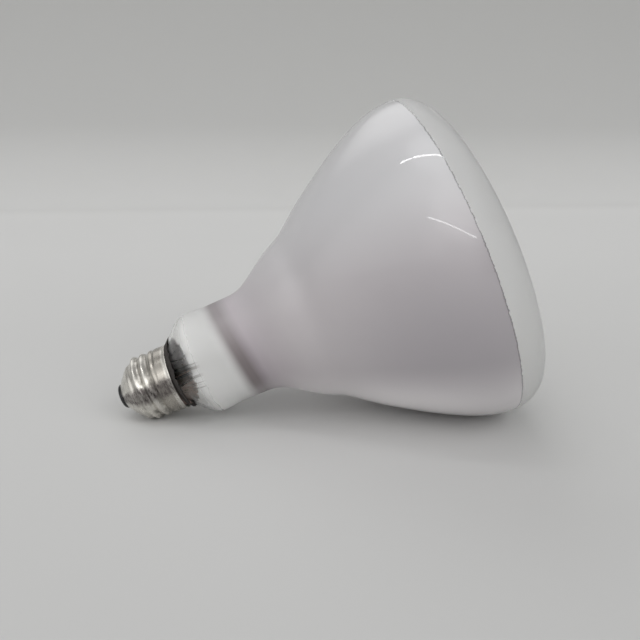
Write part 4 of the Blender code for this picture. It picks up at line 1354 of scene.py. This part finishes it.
@dataclass
class Studio:
    """The pale table and wall, the soft light and the camera, in metres.

    The paint's own distances, its step and its two fades, are in millimetres.
    """

    # Painted light: the table is lighter towards the back, and the wall is lighter at its foot and darker up it.
    floor_colour: Colour = (0.59, 0.59, 0.585)
    lit_far_floor_colour: Colour = (0.78, 0.78, 0.775)
    wall_colour: Colour = (0.485, 0.485, 0.476)
    bounce_lit_wall_colour: Colour = (0.62, 0.62, 0.615)
    blemish: Colour = (0.4, 0.4, 0.4)
    wall_step: Point = (630.0, 800.0)
    floor_fade: float = 250.0
    wall_fade: float = 420.0
    front: float = -2.5
    half_width: float = 3.0
    wall_distance: float = 0.82
    wall_height: float = 0.45
    sweep: float = 0.11
    sweep_steps: int = 16
    ambient: float = 0.035
    light_colour: Colour = (1.0, 1.0, 0.995)
    glows: Tuple[Glow, ...] = (
        Glow((0.5, -0.6, 0.6), 8.0, 30.0, 1.9),
        Glow((-0.2, -0.75, 0.65), 8.0, 30.0, 1.2),
        Glow((-0.2, 0.7, 0.7), 8.0, 30.0, 1.0),
        Glow((-0.25, -0.1, 0.95), 6.0, 24.0, 0.95),
        Glow((-0.85, -0.45, 0.33), 10.0, 40.0, 0.80),
        Glow((-0.7, 0.5, 0.5), 8.0, 30.0, 0.28),
        Glow((0.0, 0.0, 1.0), 20.0, 70.0, 0.31),
        Glow((-0.35, -0.92, 0.17), 8.0, 30.0, 0.6),
    )
    tubes: Tuple[Tube, ...] = (
        Tube("front_tube", (-0.55, -0.61, 0.49), (0.03, -0.90, 0.41), (0.03, -0.05, 0.08), 0.014, 7.5),
        Tube("top_tube", (-0.80, -0.02, 1.2), (0.18, -0.33, 1.2), (0.03, -0.05, 0.10), 0.020, 14.0),
    )
    lens: float = 40.42
    sensor: float = 36.0
    camera_place: Place = (-0.033960, -0.270010, 0.112076)
    camera_turn: Place = (74.66453, -0.25583, -6.81891)

    def paint(self) -> bpy.types.Material:
        """Returns the table's and the wall's colour, with painted light: lighter to the back, darker up the wall."""
        graph = Finish("pale_table", self.floor_colour, 0.9)
        place = graph.own(Matrix.Scale(MM, 4))
        _, depth, height = graph.split(place)
        length = self.wall_distance / MM + self.floor_fade
        back = graph.math("DIVIDE", graph.math("ADD", depth, self.floor_fade), length, clamp=True)
        table = graph.mix(back, self.floor_colour, self.lit_far_floor_colour)
        up = graph.math("POWER", graph.math("DIVIDE", height, self.wall_fade, clamp=True), 0.6)
        wall = graph.mix(up, self.bounce_lit_wall_colour, self.wall_colour)
        plain = graph.mix(graph.step(depth, *self.wall_step), table, wall)
        graph.feed("Base Color", graph.mix(graph.times(graph.noise(place, 240.0), 0.06), plain, self.blemish))
        return graph.material

    def backdrop(self) -> bpy.types.Object:
        """Returns the table with a wall behind it, joined by a soft sweep."""
        bend = self.wall_distance - self.sweep
        rail = [(self.front, 0.0), (bend, 0.0)]
        for step in range(1, self.sweep_steps + 1):
            angle = math.pi / 2 * step / self.sweep_steps
            rail.append((bend + self.sweep * math.sin(angle), self.sweep * (1 - math.cos(angle))))
        rail.append((self.wall_distance, self.wall_height))
        work = bmesh.new()
        points = [work.verts.new((-self.half_width, depth, height)) for depth, height in rail]
        edges = [work.edges.new(pair) for pair in zip(points, points[1:])]
        out = bmesh.ops.extrude_edge_only(work, edges=edges)
        moved = [item for item in out["geom"] if isinstance(item, bmesh.types.BMVert)]
        bmesh.ops.translate(work, verts=moved, vec=(2.0 * self.half_width, 0.0, 0.0))
        bmesh.ops.recalc_face_normals(work, faces=work.faces)
        if work.faces[:][0].normal.z < 0:
            bmesh.ops.reverse_faces(work, faces=work.faces)
        sweep = settle(work, "pale_sweep", [self.paint()], Matrix(), Shading.SMOOTH)
        return sweep

    def world(self) -> None:
        """Sets a light tent: a weak light all round, with brighter patches."""
        world = bpy.data.worlds.new("light_tent")
        world.use_nodes = True
        graph = Graph(world.node_tree)
        heading = graph.node("TexCoord").outputs["Generated"]
        total: object = self.ambient
        for glow in self.glows:
            towards = graph.vector("DOT_PRODUCT", heading, Vector(glow.heading).normalized())
            ends = [math.cos(math.radians(angle)) for angle in (glow.outer, glow.inner)]
            total = graph.math("ADD", total, graph.times(graph.step(towards, *ends), glow.amount))
        background = graph.tree.nodes["Background"]
        graph.put(background.inputs["Strength"], total)
        graph.put(background.inputs["Color"], (*self.light_colour, 1.0))
        bpy.context.scene.world = world

    def camera(self) -> bpy.types.Object:
        """Returns the camera, where the photograph was taken from."""
        data = bpy.data.cameras.new("photo_camera")
        data.lens, data.sensor_width, data.clip_start = self.lens, self.sensor, 0.01
        camera = stand("photo_camera", data)
        camera.location = self.camera_place
        camera.rotation_euler = [math.radians(turn) for turn in self.camera_turn]
        bpy.context.scene.camera = camera
        return camera

    def build(self) -> None:
        """Sets up table, light and camera."""
        bpy.context.scene.view_settings.view_transform = "Standard"
        self.backdrop()
        self.world()
        for tube in self.tubes:
            tube.hang()
        self.camera()


def write_sizes() -> None:
    """Defines a helper that turns a box into lists of numbers, and writes nothing."""
    def plain(box: Sequence[Sequence[float]]) -> List[List[float]]:
        """Returns a box as lists of numbers."""
        return [[float(value) for value in corner] for corner in box]


def main() -> None:
    logging.basicConfig(level=logging.INFO, format="%(name)s: %(message)s")
    for part in (Envelope(), ScrewCap(), Cement(), Mount()):
        for piece in part.build():
            LOG.info("%s: %d faces, finish %s", piece.name, len(piece.data.polygons),
                     ", ".join(finish.name for finish in piece.data.materials))
    Studio().build()
    write_sizes()


if __name__ == "__main__":
    main()
